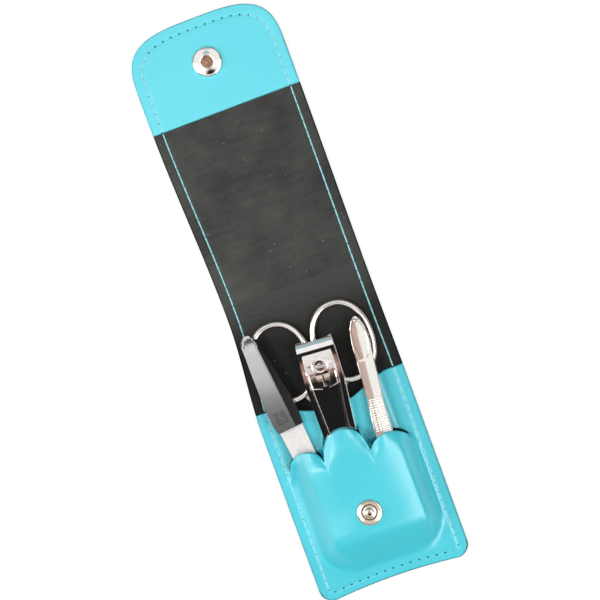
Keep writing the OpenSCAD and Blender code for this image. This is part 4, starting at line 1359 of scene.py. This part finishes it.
def arm_low(y):
    """Height of the arm's underside, which springs up from the joined end and bends back at the tip."""
    return JOINED_Z + ARM_RISE * smooth((-5 - y) / 39) - TIP_DROP * smooth((-63.5 - y) / 10)


def at_tweezers(p):
    return TWEEZERS_AT + Matrix.Rotation(TWEEZERS_TURN, 3, "Z") @ Vector(p)


def arm_section(y):
    """Points across the arm at one place: its upper face between two points of its underside."""
    half = float(np.interp(y, *zip(*ARM)))
    leaf = float(np.interp(y, *zip(*LEAF)))
    sunk = LEAF_DEPTH * smooth(leaf / 0.6)
    leaf = max(leaf, 0.12 * half)
    rim = leaf + LEAF_WALL
    places = [(-half + way_in, drop) for way_in, drop in ARM_EDGE] + [(-rim, 0)]
    places += [(leaf * s, sunk) for s in steps(-1, 1, LEAF_STEPS)]
    places += [(rim, 0)] + [(half - way_in, drop) for way_in, drop in reversed(ARM_EDGE)]
    low = arm_low(y) + 0.02
    row = [(-half, y, low)]
    for x, drop in places:
        ridge = RIDGE_FALL * (math.sqrt(x * x + RIDGE_R ** 2) - RIDGE_R)
        row.append((min(max(x, -half), half), y, arm_low(y) + ARM_T - ridge - drop))
    return row + [(half, y, low)]


def tweezers_arm():
    ys = sorted({y for y, _ in ARM} | set(steps(-73.5, 0, 90)) | set(steps(-16, -1, 40)))
    rows = [arm_section(y) for y in ys]
    n, last = len(rows[0]), (len(rows) - 1) * len(rows[0])
    faces = grid_faces(len(rows), n)
    faces += [(j * n, (j + 1) * n, (j + 1) * n + n - 1, j * n + n - 1) for j in range(len(rows) - 1)]
    faces += [tuple(reversed(range(n))), tuple(range(last, last + n))]
    bm = bmesh.new()
    verts = [bm.verts.new([c * MM for c in at_tweezers(p)]) for row in rows for p in row]
    for face in faces:
        bm.faces.new([verts[i] for i in face])
    bmesh.ops.recalc_face_normals(bm, faces=bm.faces)
    finish_piece(bmesh_object("tweezers_arm_finish", bm, 28), satin, "tweezers_arm", "tweezers_steel",
                 "tweezers_front_arm")


# %% Grip of the tweezers
GRIP_ROWS, GRIP_COLUMNS = 14, 4
GRIP_Y, GRIP_L, GRIP_PITCH = -29.8, 11.2, 1.25
GRIP_DOT = (0.55, 0.4, 0.32)


def tweezers_grip():
    bm = bmesh.new()
    turn = Matrix.Rotation(TWEEZERS_TURN, 4, "Z")
    size = Matrix.Diagonal((*(c * MM for c in GRIP_DOT), 1))
    for row in range(GRIP_ROWS):
        y = GRIP_Y - row * GRIP_L / (GRIP_ROWS - 1)
        for col in range(GRIP_COLUMNS):
            x = (col - (GRIP_COLUMNS - 1) / 2) * GRIP_PITCH
            at = Matrix.Translation(at_tweezers((x, y, arm_low(y) + 0.8)) * MM) @ turn
            bmesh.ops.create_uvsphere(bm, u_segments=12, v_segments=8, radius=1.0, matrix=at @ size)
    finish_piece(bmesh_object("tweezers_grip", bm), satin, "tweezers_arm", "tweezers_steel")


tweezers_arm()
tweezers_grip()

# %% [markdown]
# The leather panels are sheets, so each says how large it was when it was cut.

# %% Flat sizes of the sheets
def declare(obj, length):
    print(obj.name, "cut to", round(CASE_W, 1), "x", round(length, 1), "mm")


declare(shell_a, MID_SPINE - POCKET_END)
declare(shell_b, FLAP_END - MID_SPINE)
declare(lining_a, MID_SPINE - POCKET_END)
declare(lining_b, FLAP_END - MID_SPINE)
declare(pocket, 80.0)
declare(facing, FLAP_END - FACING_Y)
